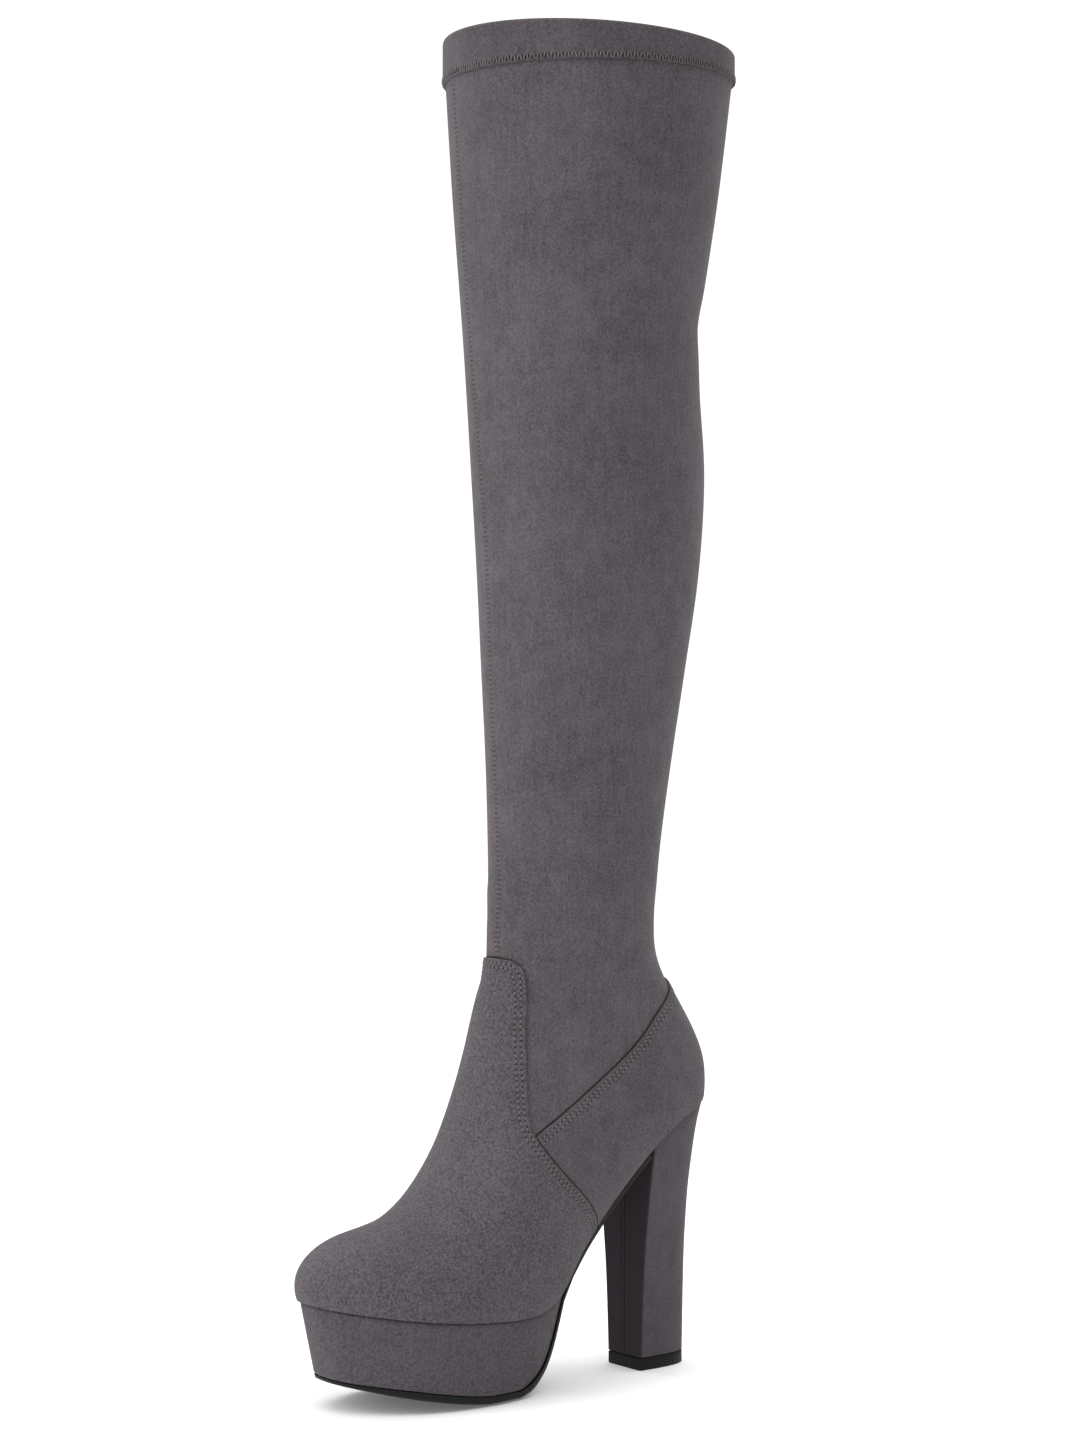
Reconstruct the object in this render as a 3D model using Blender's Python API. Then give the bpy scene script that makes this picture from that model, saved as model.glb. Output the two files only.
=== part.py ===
"""A left thigh-high boot: stretch shaft, lasted foot, covered platform and block heel.

Metres, +Z up. The toe points to -Y and the outer side of the foot is +X. The origin is on the floor,
on the flat tread under the ball of the foot.

Places on the last are given as shares: along is a share of TOE_LENGTH in front of the ball and of
REAR_LENGTH behind it, lift is a share of the heel's rise above the platform, and body is a share of
the ankle's rise above the heel.
"""

import math
from collections import namedtuple

import bmesh
import bpy
from mathutils import Vector
from mathutils.bvhtree import BVHTree

# Sizes of the last
TOE_LENGTH = 0.086
REAR_LENGTH = 0.129
BALL_WIDTH = 0.088
HEEL_HEIGHT = 0.130
ANKLE_RISE = 0.110

# Sizes of the leg, over the plain upper
ANKLE_DEPTH = 0.085
ANKLE_WIDTH = 0.071
CALF_DEPTH = 0.116
CALF_WIDTH = 0.102
KNEE_DEPTH = 0.115
KNEE_WIDTH = 0.102
THIGH_DEPTH = 0.140
THIGH_WIDTH = 0.129
LEG_SETBACK = 0.0586
BOOT_HEIGHT = 0.6268

# The hem is a band that stands out from the shaft. Its lower edge rises a little to the back, and the
# rim falls to the back and to the outer side. The slopes are heights per length.
HEM_HEIGHT = 0.0168
HEM_SLOPE = 0.028
RIM_SLOPE = -0.030
RIM_LEAN = -0.022
HEM_STEP = 0.0014
HEM_EDGE = 0.0004

# Thicknesses of the upper's layers, and the gap between pieces
UPPER_WALL = 0.0016
VAMP_THICKNESS = 0.0010
COUNTER_THICKNESS = 0.0008
GAP = 0.0003

# Sizes of the platform, outsole and insole
PLATFORM_HEIGHT = 0.039
FEATHER_TOE_LIFT = 0.0095
PLATFORM_INSET = 0.0005
PLATFORM_DRAFT = 0.20
OUTSOLE_THICKNESS = 0.0045
TREAD_EDGE = 0.006
TREAD_ROLL = 0.4
WAIST_THICKNESS = 0.002
WAIST_FRONT = 0.31
FLAT_FRONT = -0.12
FLAT_BACK = 0.050
INSOLE_THICKNESS = 0.0025

# Sizes of the heel
HEEL_BREAST = 0.089
HEEL_FOOT_WIDTH = 0.0245
HEEL_FOOT_LENGTH = 0.0325
HEEL_TIP_HEIGHT = 0.006
HEEL_INSET = -0.0008
HEEL_SQUARENESS = 2.6

# Fineness of the solids
AROUND = 32
LINE_STATIONS = 64
TOE_STATIONS = 10
FLAT_STATIONS = 2
WAIST_STATIONS = 6
INSOLE_STATIONS = 32
HEEL_STATIONS = 9
SEARCH_STEP = 0.0002

RISE = HEEL_HEIGHT - PLATFORM_HEIGHT
LEG_START = HEEL_HEIGHT + ANKLE_RISE
HEM_LINE = BOOT_HEIGHT - HEM_HEIGHT
HALF_BALL = BALL_WIDTH / 2
FAR = 0.3
MARGIN = 0.02

Section = namedtuple(
    "Section", "front_y front_z back_y back_z outer inner widest crown keel lean"
)

# One row for each section of the foot, from the toe to the ankle. Front is the toe and instep profile,
# back is the underside and heel profile, outer and inner are shares of half the ball width, widest is
# how far up from the back the section is widest, crown and keel say how boxy its two halves are.
FOOT_ROWS = (
    # front: along, lift, body | back: along, lift, body | outer, inner | widest, crown, keel
    (-0.983, 0.0, 0.215, -0.983, 0.0, 0.085, 0.12, 0.29, 0.50, 2.0, 2.0),
    (-0.935, 0.0, 0.275, -0.953, 0.0, 0.026, 0.33, 0.48, 0.47, 2.0, 2.0),
    (-0.850, 0.0, 0.322, -0.857, 0.0, -0.028, 0.53, 0.64, 0.43, 2.0, 2.2),
    (-0.735, 0.0, 0.352, -0.740, 0.0, -0.058, 0.70, 0.77, 0.39, 2.0, 2.5),
    (-0.590, 0.0, 0.372, -0.590, 0.0, -0.075, 0.85, 0.87, 0.37, 2.0, 2.8),
    (-0.420, 0.0, 0.418, -0.420, 0.0, -0.090, 0.94, 0.93, 0.37, 1.9, 3.0),
    (-0.250, 0.0, 0.530, -0.200, 0.0, -0.100, 0.97, 0.94, 0.36, 1.9, 3.2),
    (-0.110, 0.10, 0.640, 0.060, 0.0, -0.110, 0.96, 0.88, 0.37, 1.9, 3.2),
    (-0.025, 0.30, 0.660, 0.240, 0.09, -0.110, 0.86, 0.79, 0.40, 2.0, 2.8),
    (0.023, 0.55, 0.635, 0.420, 0.36, -0.100, 0.74, 0.71, 0.44, 2.0, 2.5),
    (0.048, 0.80, 0.560, 0.620, 0.65, -0.110, 0.72, 0.70, 0.48, 2.0, 2.5),
    (0.067, 0.95, 0.530, 0.830, 0.88, -0.120, 0.71, 0.70, 0.50, 2.0, 2.7),
    (0.080, 1.0, 0.540, 0.965, 1.0, -0.110, 0.71, 0.70, 0.50, 2.0, 2.7),
    (0.091, 1.0, 0.600, 1.012, 1.0, 0.040, 0.71, 0.71, 0.50, 2.0, 2.3),
    (0.097, 1.0, 0.690, 0.988, 1.0, 0.215, 0.72, 0.72, 0.50, 2.0, 2.0),
    (0.108, 1.0, 0.810, 0.810, 1.0, 0.540, 0.77, 0.77, 0.50, 2.0, 2.0),
    (0.120, 1.0, 0.920, 0.770, 1.0, 0.770, 0.79, 0.79, 0.50, 2.0, 2.0),
)
TOE_TIP_BODY = 0.140

# One row for each section of the leg, from the ankle to the hem: up is a share of the height between
# them, shift is how far its middle lies behind the ankle's, as a share of the thigh's depth, and the
# rest are the sizes it follows with the shares of them.
LEG_ROWS = (
    # up, shift, depth size, share of it, width size, share of it
    (0.0, 0.0, ANKLE_DEPTH, 1.0, ANKLE_WIDTH, 1.0),
    (0.125, 0.022, ANKLE_DEPTH, 1.08, ANKLE_WIDTH, 1.115),
    (0.255, 0.044, CALF_DEPTH, 0.873, CALF_WIDTH, 0.873),
    (0.380, 0.064, CALF_DEPTH, 0.953, CALF_WIDTH, 0.951),
    (0.510, 0.063, CALF_DEPTH, 1.0, CALF_WIDTH, 1.0),
    (0.640, 0.035, KNEE_DEPTH, 1.0, KNEE_WIDTH, 1.0),
    (0.730, 0.038, THIGH_DEPTH, 0.859, THIGH_WIDTH, 0.836),
    (0.860, 0.053, THIGH_DEPTH, 0.931, THIGH_WIDTH, 0.93),
    (1.0, 0.068, THIGH_DEPTH, 1.0, THIGH_WIDTH, 1.0),
)

# The lasting line, where the upper meets the sole, behind the ball
LASTING_ROWS = (
    # along, lift
    (0.0, 0.0),
    (0.08, 0.004),
    (0.16, 0.022),
    (0.24, 0.070),
    (0.32, 0.165),
    (0.42, 0.320),
    (0.56, 0.545),
    (0.70, 0.760),
    (0.82, 0.890),
    (0.92, 0.955),
    (1.0, 1.0),
)

# The outsole's underside from the toe, over the flat tread, up the back of the platform to the waist.
# Height is a share of the platform's height, and thickness a share of the outsole's.
TREAD_ROWS = (
    # along, height, thickness
    (-0.91, 0.335, 0.50),
    (-0.83, 0.292, 0.60),
    (-0.75, 0.250, 0.75),
    (-0.66, 0.202, 0.90),
    (-0.56, 0.155, 1.00),
    (-0.44, 0.105, 1.00),
    (-0.30, 0.050, 1.00),
    (-0.20, 0.018, 1.00),
    (FLAT_FRONT, 0.0, 1.00),
    (FLAT_BACK, 0.0, 1.00),
    (0.100, 0.060, 0.85),
    (0.150, 0.160, 0.70),
    (0.190, 0.285, 0.60),
    (0.219, 0.440, 0.55),
    (0.237, 0.610, 0.50),
    (0.253, 0.830, 0.45),
    (0.268, 1.060, 0.40),
)

# The heel block from its foot to its seat: up is a share of its height, and width and back say how far
# it has grown from the foot's outline to the seat's.
HEEL_ROWS = (
    # up, width, back
    (0.0, 0.0, 0.0),
    (0.35, 0.17, 0.05),
    (0.60, 0.40, 0.18),
    (0.80, 0.67, 0.45),
    (0.92, 0.86, 0.70),
    (1.0, 1.0, 1.0),
)

# Side view of the edge of the vamp, from the top of its tongue down to the sole
VAMP_EDGE = (
    # along, lift, body
    (0.000, 1.0, 0.627),
    (0.107, 1.0, 0.627),
    (0.128, 1.0, 0.608),
    (0.145, 1.0, 0.560),
    (0.145, 1.0, 0.500),
    (0.123, 1.0, 0.340),
    (0.110, 1.0, 0.190),
    (0.098, 1.0, 0.060),
    (0.092, 0.95, 0.0),
    (0.115, 0.86, 0.0),
    (0.200, 0.71, 0.0),
    (0.360, 0.50, 0.0),
    (0.440, 0.36, 0.0),
    (0.480, 0.20, 0.0),
)

# Side view of the top edge of the counter, from in front of the vamp's edge to behind the heel
COUNTER_EDGE = (
    # along, lift, body
    (0.000, 0.76, 0.0),
    (0.115, 0.88, 0.0),
    (0.220, 0.97, 0.0),
    (0.390, 1.0, 0.108),
    (0.486, 1.0, 0.185),
    (0.587, 1.0, 0.283),
    (0.676, 1.0, 0.395),
    (0.810, 1.0, 0.510),
    (1.000, 1.0, 0.640),
    (1.150, 1.0, 0.740),
)

# Colour and roughness of each piece
SUEDE = ((0.088, 0.078, 0.086, 1.0), 0.92)
PANEL_SUEDE = ((0.112, 0.101, 0.110, 1.0), 0.92)
SOLE_SUEDE = ((0.082, 0.073, 0.080, 1.0), 0.92)
SOCK = ((0.060, 0.056, 0.058, 1.0), 0.8)
RUBBER = ((0.014, 0.014, 0.014, 1.0), 0.55)


def clear_scene():
    for obj in list(bpy.data.objects):
        bpy.data.objects.remove(obj)


def make_material(name, look):
    colour, roughness = look
    material = bpy.data.materials.new(name)
    material.use_nodes = True
    shader = material.node_tree.nodes["Principled BSDF"]
    shader.inputs["Base Color"].default_value = colour
    shader.inputs["Roughness"].default_value = roughness
    shader.inputs["Metallic"].default_value = 0.0
    return material


def make_object(name, bm, look=None):
    """A smooth-shaded piece with its own material or, without a look, a hidden cutter."""
    mesh = bpy.data.meshes.new(name)
    bmesh.ops.recalc_face_normals(bm, faces=bm.faces)
    bm.to_mesh(mesh)
    bm.free()
    obj = bpy.data.objects.new(name, mesh)
    bpy.context.scene.collection.objects.link(obj)
    if look:
        mesh.materials.append(make_material(name, look))
        mesh.shade_smooth()
        mesh.set_sharp_from_angle(angle=math.radians(35))
    else:
        obj.hide_render = True
        obj.display_type = "WIRE"
    return obj


def carve(obj, cutter, operation="DIFFERENCE"):
    modifier = obj.modifiers.new(cutter.name, "BOOLEAN")
    modifier.operation = operation
    modifier.object = cutter
    modifier.solver = "EXACT"


def place(along, lift, body):
    """Side view (y, z) of a place on the last."""
    y = along * (TOE_LENGTH if along < 0 else REAR_LENGTH)
    return y, PLATFORM_HEIGHT + lift * RISE + body * ANKLE_RISE


def row_between(rows, t):
    """The values of a table at row number t, on a smooth curve through its rows."""
    last = len(rows) - 1
    i = min(max(int(t), 0), last - 1)
    f = t - i
    before, here, there, after = (rows[min(max(k, 0), last)] for k in range(i - 1, i + 3))
    made = []
    for a, b, c, d in zip(before, here, there, after):
        start, end = (c - a) / 2, (d - b) / 2
        made.append(hermite(f, b, c, start, end))
    return made


def hermite(f, a, b, start, end):
    return (
        a * (2 * f**3 - 3 * f**2 + 1)
        + start * (f**3 - 2 * f**2 + f)
        + b * (3 * f**2 - 2 * f**3)
        + end * (f**3 - f**2)
    )


def value_at(rows, x, column=1):
    """A column of a table where its first column is x, on a smooth curve that never overshoots."""
    x = min(max(x, rows[0][0]), rows[-1][0])
    slopes = [(b[column] - a[column]) / (b[0] - a[0]) for a, b in zip(rows, rows[1:])]
    i = next(k for k in range(len(slopes)) if x <= rows[k + 1][0])

    def slope_at(k):
        if k == 0 or k == len(slopes):
            return slopes[max(k - 1, 0)]
        a, b = slopes[k - 1], slopes[k]
        return 2 * a * b / (a + b) if a * b > 0 else 0.0

    width = rows[i + 1][0] - rows[i][0]
    f = (x - rows[i][0]) / width
    ends = rows[i][column], rows[i + 1][column]
    return hermite(f, *ends, slope_at(i) * width, slope_at(i + 1) * width)


def lasting_height(y):
    """Height of the lasting line above the floor."""
    if y < 0:
        return PLATFORM_HEIGHT + FEATHER_TOE_LIFT * min(-y / TOE_LENGTH, 1.0) ** 1.5
    return PLATFORM_HEIGHT + RISE * value_at(LASTING_ROWS, y / REAR_LENGTH)


def lasting_slope(y):
    step = 0.001
    return (lasting_height(y + step) - lasting_height(y - step)) / (2 * step)


def beneath_lasting(y, depth):
    """Side view of the point at a right angle under the lasting line at y, depth away from it."""
    slope = lasting_slope(y)
    size = math.hypot(slope, 1)
    return y + slope / size * depth, lasting_height(y) - depth / size


def seat_height(y):
    """Height at y of what lies under the lasting line with a gap to it."""
    return lasting_height(y) - GAP * math.hypot(lasting_slope(y), 1)


def foot_section(row):
    front = place(*row[0:3])
    back = place(*row[3:6])
    outer, inner = row[6] * HALF_BALL, row[7] * HALF_BALL
    return Section(*front, *back, outer, inner, *row[8:], 0.0)


def leg_section(row):
    up, shift, depth_size, depth_share, width_size, width_share = row
    z = LEG_START + up * (HEM_LINE - LEG_START)
    middle = LEG_SETBACK + shift * THIGH_DEPTH
    reach = depth_size * depth_share / 2
    side = width_size * width_share / 2
    return Section(middle - reach, z, middle + reach, z, side, side, 0.5, 2.0, 2.0, 0.0)


def form_sections():
    """Every section of the outer form from the toe to the rim."""
    sections = [foot_section(row) for row in FOOT_ROWS] + [leg_section(row) for row in LEG_ROWS]
    top = sections.pop()
    half = (top.back_y - top.front_y) / 2
    ends = [
        top._replace(front_z=z - slope * half, back_z=z + slope * half, lean=lean)
        for z, slope, lean in ((HEM_LINE, HEM_SLOPE, 0.0), (BOOT_HEIGHT, RIM_SLOPE, RIM_LEAN))
    ]
    return sections + ends


SECTIONS = form_sections()
HEM_ROW = len(SECTIONS) - 2
ANKLE_ROW = len(FOOT_ROWS)


def section_at(t):
    if t <= HEM_ROW:
        return Section(*row_between(SECTIONS[:-1], t))
    f = t - HEM_ROW
    return Section(*(a + (b - a) * f for a, b in zip(SECTIONS[-2], SECTIONS[-1])))


def section_ring(t):
    """Points around the outer form at section number t, from the outer side over the front."""
    s = section_at(t)
    front = Vector((0, s.front_y, s.front_z))
    back = Vector((0, s.back_y, s.back_z))
    ring = []
    for k in range(AROUND):
        angle = 2 * math.pi * k / AROUND
        across, rise = math.cos(angle), math.sin(angle)
        power = 2 / (s.crown if rise > 0 else s.keel)
        reach = 1 - s.widest if rise > 0 else s.widest
        point = back.lerp(front, s.widest + math.copysign(abs(rise) ** power, rise) * reach)
        point.x = abs(across) ** power * (s.outer if across > 0 else -s.inner)
        point.z += s.lean * point.x
        ring.append(point)
    return ring


def form_rings(steps, outsets):
    """Rings of the form at the section numbers in steps, moved out by their outsets, and the toe's point."""
    rings = [section_ring(t) for t in steps]
    toe_y, toe_z = place(-1.0, 0.0, TOE_TIP_BODY)
    middle = (rings[0][0].x + rings[0][AROUND // 2].x) / 2
    toe = Vector((middle, toe_y, toe_z))
    moved = []
    for i, ring in enumerate(rings):
        before = rings[i - 1] if i else [toe] * AROUND
        after = rings[min(i + 1, len(rings) - 1)]
        made = []
        for k in range(AROUND):
            around = ring[(k + 1) % AROUND] - ring[k - 1]
            normal = (after[k] - before[k]).cross(around).normalized()
            made.append(ring[k] + normal * outsets[i])
        moved.append(made)
    return moved, toe - Vector((0, outsets[0], 0))


def add_skin(bm, rings, toe):
    """Faces from the toe's point through the rings. Returns the last ring's vertices."""
    tip = bm.verts.new(toe)
    rows = [[bm.verts.new(p) for p in ring] for ring in rings]
    for k in range(AROUND):
        bm.faces.new([tip, rows[0][k], rows[0][k - 1]])
    for near, far in zip(rows, rows[1:]):
        for k in range(AROUND):
            bm.faces.new([near[k - 1], near[k], far[k], far[k - 1]])
    return rows[-1]


def make_shell(name, steps, outer, inner, look):
    """A closed wall between two offsets of the form, closed at the toe and open at its last ring."""
    bm = bmesh.new()
    outside = add_skin(bm, *form_rings(steps, outer))
    inside = add_skin(bm, *form_rings(steps, inner))
    for k in range(AROUND):
        bm.faces.new([outside[k - 1], outside[k], inside[k], inside[k - 1]])
    return make_object(name, bm, look)


def make_prism(name, outline):
    """A cutter: a side view outline of (y, z) points, drawn out across the foot."""
    bm = bmesh.new()
    sides = [[bm.verts.new((x, y, z)) for y, z in outline] for x in (-FAR, FAR)]
    bm.faces.new(sides[0])
    bm.faces.new(sides[1])
    for k in range(len(outline)):
        bm.faces.new([sides[0][k - 1], sides[0][k], sides[1][k], sides[1][k - 1]])
    return make_object(name, bm)


def smooth_line(points, parts=3):
    """More points on a smooth curve through the given ones."""
    count = (len(points) - 1) * parts
    return [tuple(row_between(points, k / parts)) for k in range(count + 1)]


def form_tree(outset):
    """The form, moved out by outset, ready to be measured with rays."""
    steps = [k / 2 for k in range(2 * ANKLE_ROW)]
    rings, toe = form_rings(steps, [outset] * len(steps))
    points = [toe] + [p for ring in rings for p in ring]
    faces = [(0, 1 + k, 1 + (k + 1) % AROUND) for k in range(AROUND)]
    for i in range(len(rings) - 1):
        near, far = 1 + i * AROUND, 1 + (i + 1) * AROUND
        for k in range(AROUND):
            n = (k + 1) % AROUND
            faces.append((near + k, far + k, far + n, near + n))
    return BVHTree.FromPolygons(points, faces)


def feather_at(tree, y):
    """Inner and outer x of the form at the lasting line, or None beyond its ends."""
    hits = [
        tree.ray_cast(Vector((side * FAR, y, lasting_height(y))), Vector((-side, 0, 0)))[0]
        for side in (-1, 1)
    ]
    return (hits[0].x, hits[1].x) if all(hits) and hits[1].x > hits[0].x else None


def feather_end(tree, side):
    """The y of the form's end at the lasting line, at the toe for side -1 and the heel for side 1."""
    reach = (TOE_LENGTH if side < 0 else REAR_LENGTH) + MARGIN
    tries = [side * (reach - k * SEARCH_STEP) for k in range(int(reach / SEARCH_STEP))]
    return next(y for y in tries if feather_at(tree, y))


def feather_loop(outset):
    """The form's outline at the lasting line as (x, y), from the inner side's back around the toe."""
    tree = form_tree(outset)
    front, back = feather_end(tree, -1), feather_end(tree, 1)
    inner, outer = [], []
    for k in range(LINE_STATIONS + 1):
        y = front + (back - front) * (1 - math.cos(math.pi * k / LINE_STATIONS)) / 2
        inner_x, outer_x = feather_at(tree, min(max(y, front), back))
        inner.append((inner_x, y))
        outer.append((outer_x, y))
    return inner[::-1] + outer


def inset_loop(loop, inset):
    """The loop moved inwards at a right angle to its line."""
    moved = []
    last = len(loop) - 1
    for k, (x, y) in enumerate(loop):
        before, after = loop[max(k - 1, 0)], loop[min(k + 1, last)]
        dx, dy = after[0] - before[0], after[1] - before[1]
        size = math.hypot(dx, dy)
        moved.append((x - dy / size * inset, y + dx / size * inset))
    return moved


def toe_of(loop):
    return min(y for _, y in loop)


def heel_of(loop):
    return max(y for _, y in loop)


def edges_at(loop, y):
    """Inner and outer x of a loop at y."""
    middle = len(loop) // 2
    found = []
    for half in (loop[:middle][::-1], loop[middle:]):
        inside = min(max(y, half[0][1]), half[-1][1])
        (x0, y0), (x1, y1) = next(
            (a, b) for a, b in zip(half, half[1:]) if a[1] <= inside <= b[1]
        )
        found.append(x0 + (x1 - x0) * (inside - y0) / max(y1 - y0, 1e-9))
    return found


def make_block(name, levels, look):
    """A solid from levels of stations, lowest first. A station is a pair of inner and outer points."""
    bm = bmesh.new()
    rings = []
    for level in levels:
        inner = [bm.verts.new(pair[0]) for pair in level]
        outer = [bm.verts.new(pair[1]) for pair in level]
        rings.append(inner + outer[::-1])
    count = len(rings[0])
    for low, high in zip(rings, rings[1:]):
        for k in range(count):
            bm.faces.new([low[k - 1], low[k], high[k], high[k - 1]])
    for ring in (rings[0], rings[-1]):
        for k in range(count // 2 - 1):
            bm.faces.new([ring[k], ring[k + 1], ring[count - 2 - k], ring[count - 1 - k]])
    return make_object(name, bm, look)


def station(loop, y, z):
    inner_x, outer_x = edges_at(loop, y)
    return Vector((inner_x, y, z)), Vector((outer_x, y, z))


def sole_station(feather, y, z, extra=0.0):
    """A station of the sole, drawn in by the draft from the lasting line down to z, and by extra."""
    drop = max(lasting_height(y) - z, 0.0)
    return station(inset_loop(feather, PLATFORM_INSET + PLATFORM_DRAFT * drop + extra), y, z)


def tread_path(feather):
    """Side view of the outsole's underside and its thickness, from the toe to the heel's breast."""
    toe_drop = lasting_height(-TOE_LENGTH) - TREAD_ROWS[0][1] * PLATFORM_HEIGHT
    toe = toe_of(inset_loop(feather, PLATFORM_INSET + PLATFORM_DRAFT * toe_drop))
    flat_front, flat_back = FLAT_FRONT * TOE_LENGTH, FLAT_BACK * REAR_LENGTH
    ys = [toe + (flat_front - toe) * (k / TOE_STATIONS) ** 2 for k in range(TOE_STATIONS)]
    ys += [flat_front + (flat_back - flat_front) * k / FLAT_STATIONS for k in range(FLAT_STATIONS)]
    riser = [row[0] * REAR_LENGTH for row in TREAD_ROWS if row[0] >= FLAT_BACK]
    for here, there in zip(riser, riser[1:]):
        ys += [here, (here + there) / 2]
    ys.append(riser[-1])
    path = []
    for y in ys:
        share = y / (TOE_LENGTH if y < 0 else REAR_LENGTH)
        thickness = value_at(TREAD_ROWS, share, 2) * OUTSOLE_THICKNESS
        path.append((y, value_at(TREAD_ROWS, share) * PLATFORM_HEIGHT, thickness))
    start = WAIST_FRONT * REAR_LENGTH
    for k in range(WAIST_STATIONS + 1):
        y = start + (HEEL_BREAST - GAP - WAIST_THICKNESS - start) * k / WAIST_STATIONS
        path.append((*beneath_lasting(y, GAP + WAIST_THICKNESS), WAIST_THICKNESS))
    return path


def above_path(path, share, extra):
    """Side view of the points over the path by a share of its thickness and extra, square to it."""
    raised = []
    last = len(path) - 1
    for k, (y, z, thickness) in enumerate(path):
        before, after = path[max(k - 1, 0)], path[min(k + 1, last)]
        dy, dz = after[0] - before[0], after[1] - before[1]
        size = math.hypot(dy, dz)
        out = thickness * share + extra
        raised.append((y - dz / size * out, z + dy / size * out))
    return raised


def make_outsole(feather):
    """The outsole, with the lower edge of its tread rolled up."""
    path = tread_path(feather)
    flat, toe = FLAT_FRONT * TOE_LENGTH, path[0][0]
    shorter = (flat - toe - TREAD_EDGE * path[0][2] / OUTSOLE_THICKNESS) / (flat - toe)
    under = []
    for y, z, thickness in path:
        drawn_in = flat - (flat - y) * shorter if y < flat else y
        extra = TREAD_EDGE * thickness / OUTSOLE_THICKNESS
        under.append(sole_station(feather, drawn_in, z, extra))
    levels = [under]
    for share in (TREAD_ROLL, 1.0):
        levels.append([sole_station(feather, y, z) for y, z in above_path(path, share, 0.0)])
    return make_block("outsole", levels, RUBBER)


def make_platform(feather):
    """The covered platform: its underside follows the outsole and its top the lasting line."""
    path = tread_path(feather)
    seat = above_path(path, 1.0, GAP)
    count = len(path) - WAIST_STATIONS - 1
    (y0, z0), (y1, z1) = seat[count - 1], seat[count]
    seat = seat[:count] + [((y0 + y1) / 2, (z0 + z1) / 2)]
    low = [sole_station(feather, y, z) for y, z in seat]
    top_loop = inset_loop(feather, PLATFORM_INSET)
    front, back = toe_of(top_loop), seat[-1][0]
    scale = (back - front) / (back - seat[0][0])
    high = []
    for y, _ in seat:
        top_y = back - (back - y) * scale
        high.append(station(top_loop, top_y, seat_height(top_y)))
    middle = [[a.lerp(b, 0.5) for a, b in zip(under, over)] for under, over in zip(low, high)]
    return make_block("platform", [low, middle, high], SOLE_SUEDE)


def make_insole():
    loop = feather_loop(-UPPER_WALL - GAP)
    front, back = toe_of(loop), heel_of(loop)
    ys = [
        front + (back - front) * (1 - math.cos(math.pi * k / INSOLE_STATIONS)) / 2
        for k in range(INSOLE_STATIONS + 1)
    ]
    levels = [
        [station(loop, y, lasting_height(y) + up) for y in ys] for up in (0.0, INSOLE_THICKNESS)
    ]
    return make_block("insole", levels, SOCK)


def heel_shares():
    """Shares of the way from the breast to the back of the heel, close together at the round back."""
    count = HEEL_STATIONS
    steps = list(range(count)) + [count - 0.32]
    return [math.sin(math.pi / 2 * k / count) for k in steps]


def heel_foot(share, z):
    """A station of the heel's foot, which is straight at the breast and round at the back."""
    y = HEEL_BREAST + share * HEEL_FOOT_LENGTH
    half = HEEL_FOOT_WIDTH / 2 * (1 - share**HEEL_SQUARENESS) ** (1 / HEEL_SQUARENESS)
    return Vector((-half, y, z)), Vector((half, y, z))


def make_heel(feather):
    loop = inset_loop(feather, HEEL_INSET)
    back = heel_of(loop)
    base = HEEL_TIP_HEIGHT + GAP
    levels = []
    for up, width, reach in HEEL_ROWS:
        level = []
        for share in heel_shares():
            y = HEEL_BREAST + share * (back - HEEL_BREAST)
            pair = []
            for low, high in zip(heel_foot(share, base), station(loop, y, seat_height(y))):
                point = low.lerp(high, up)
                point.x = low.x + (high.x - low.x) * width
                point.y = low.y + (high.y - low.y) * reach
                pair.append(point)
            level.append(pair)
        levels.append(level)
    return make_block("heel", levels, SOLE_SUEDE)


def make_heel_tip():
    levels = [[heel_foot(share, z) for share in heel_shares()] for z in (0.0, HEEL_TIP_HEIGHT)]
    return make_block("heel_tip", levels, RUBBER)


# Section numbers of the rings of the solids
FOOT_STEPS = list(range(4)) + [4 + k / 2 for k in range(2 * (ANKLE_ROW - 4))]
LEG_STEPS = [ANKLE_ROW + k / 2 for k in range(4)] + list(range(ANKLE_ROW + 2, HEM_ROW + 1))


def make_upper(under_foot):
    edge = HEM_EDGE / HEM_HEIGHT
    steps = FOOT_STEPS + LEG_STEPS + [HEM_ROW + edge, HEM_ROW + 1]
    outer = [0.0] * (len(steps) - 2) + [HEM_STEP] * 2
    upper = make_shell("upper", steps, outer, [-UPPER_WALL] * len(steps), SUEDE)
    carve(upper, under_foot)
    return upper


def make_panel(name, thickness, region, under_foot):
    """A piece of a second wall over the foot, cut out by its side view."""
    steps = FOOT_STEPS + [ANKLE_ROW]
    count = len(steps)
    panel = make_shell(name, steps, [GAP + thickness] * count, [GAP] * count, PANEL_SUEDE)
    carve(panel, region, "INTERSECT")
    carve(panel, under_foot)
    return panel


def make_vamp(line, under_foot):
    """The vamp panel, in front of its edge and below the top of its tongue."""
    front = -TOE_LENGTH - MARGIN
    corners = [(line[-1][0], 0.0), (front, 0.0), (front, line[0][1])]
    region = make_prism("vamp_region", line + corners)
    return make_panel("vamp", VAMP_THICKNESS, region, under_foot)


def make_counter(line, vamp_line, under_foot):
    """The counter panel, below its edge and behind the vamp."""
    region = make_prism("counter_region", line + [(line[-1][0], 0.0), (line[0][0], 0.0)])
    counter = make_panel("heel_counter", COUNTER_THICKNESS, region, under_foot)
    edge = [(y + GAP, z) for y, z in vamp_line]
    front = -TOE_LENGTH - MARGIN
    corners = [(edge[-1][0], 0.0), (front, 0.0), (front, edge[0][1])]
    carve(counter, make_prism("vamp_clearance", edge + corners))
    return counter


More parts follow.
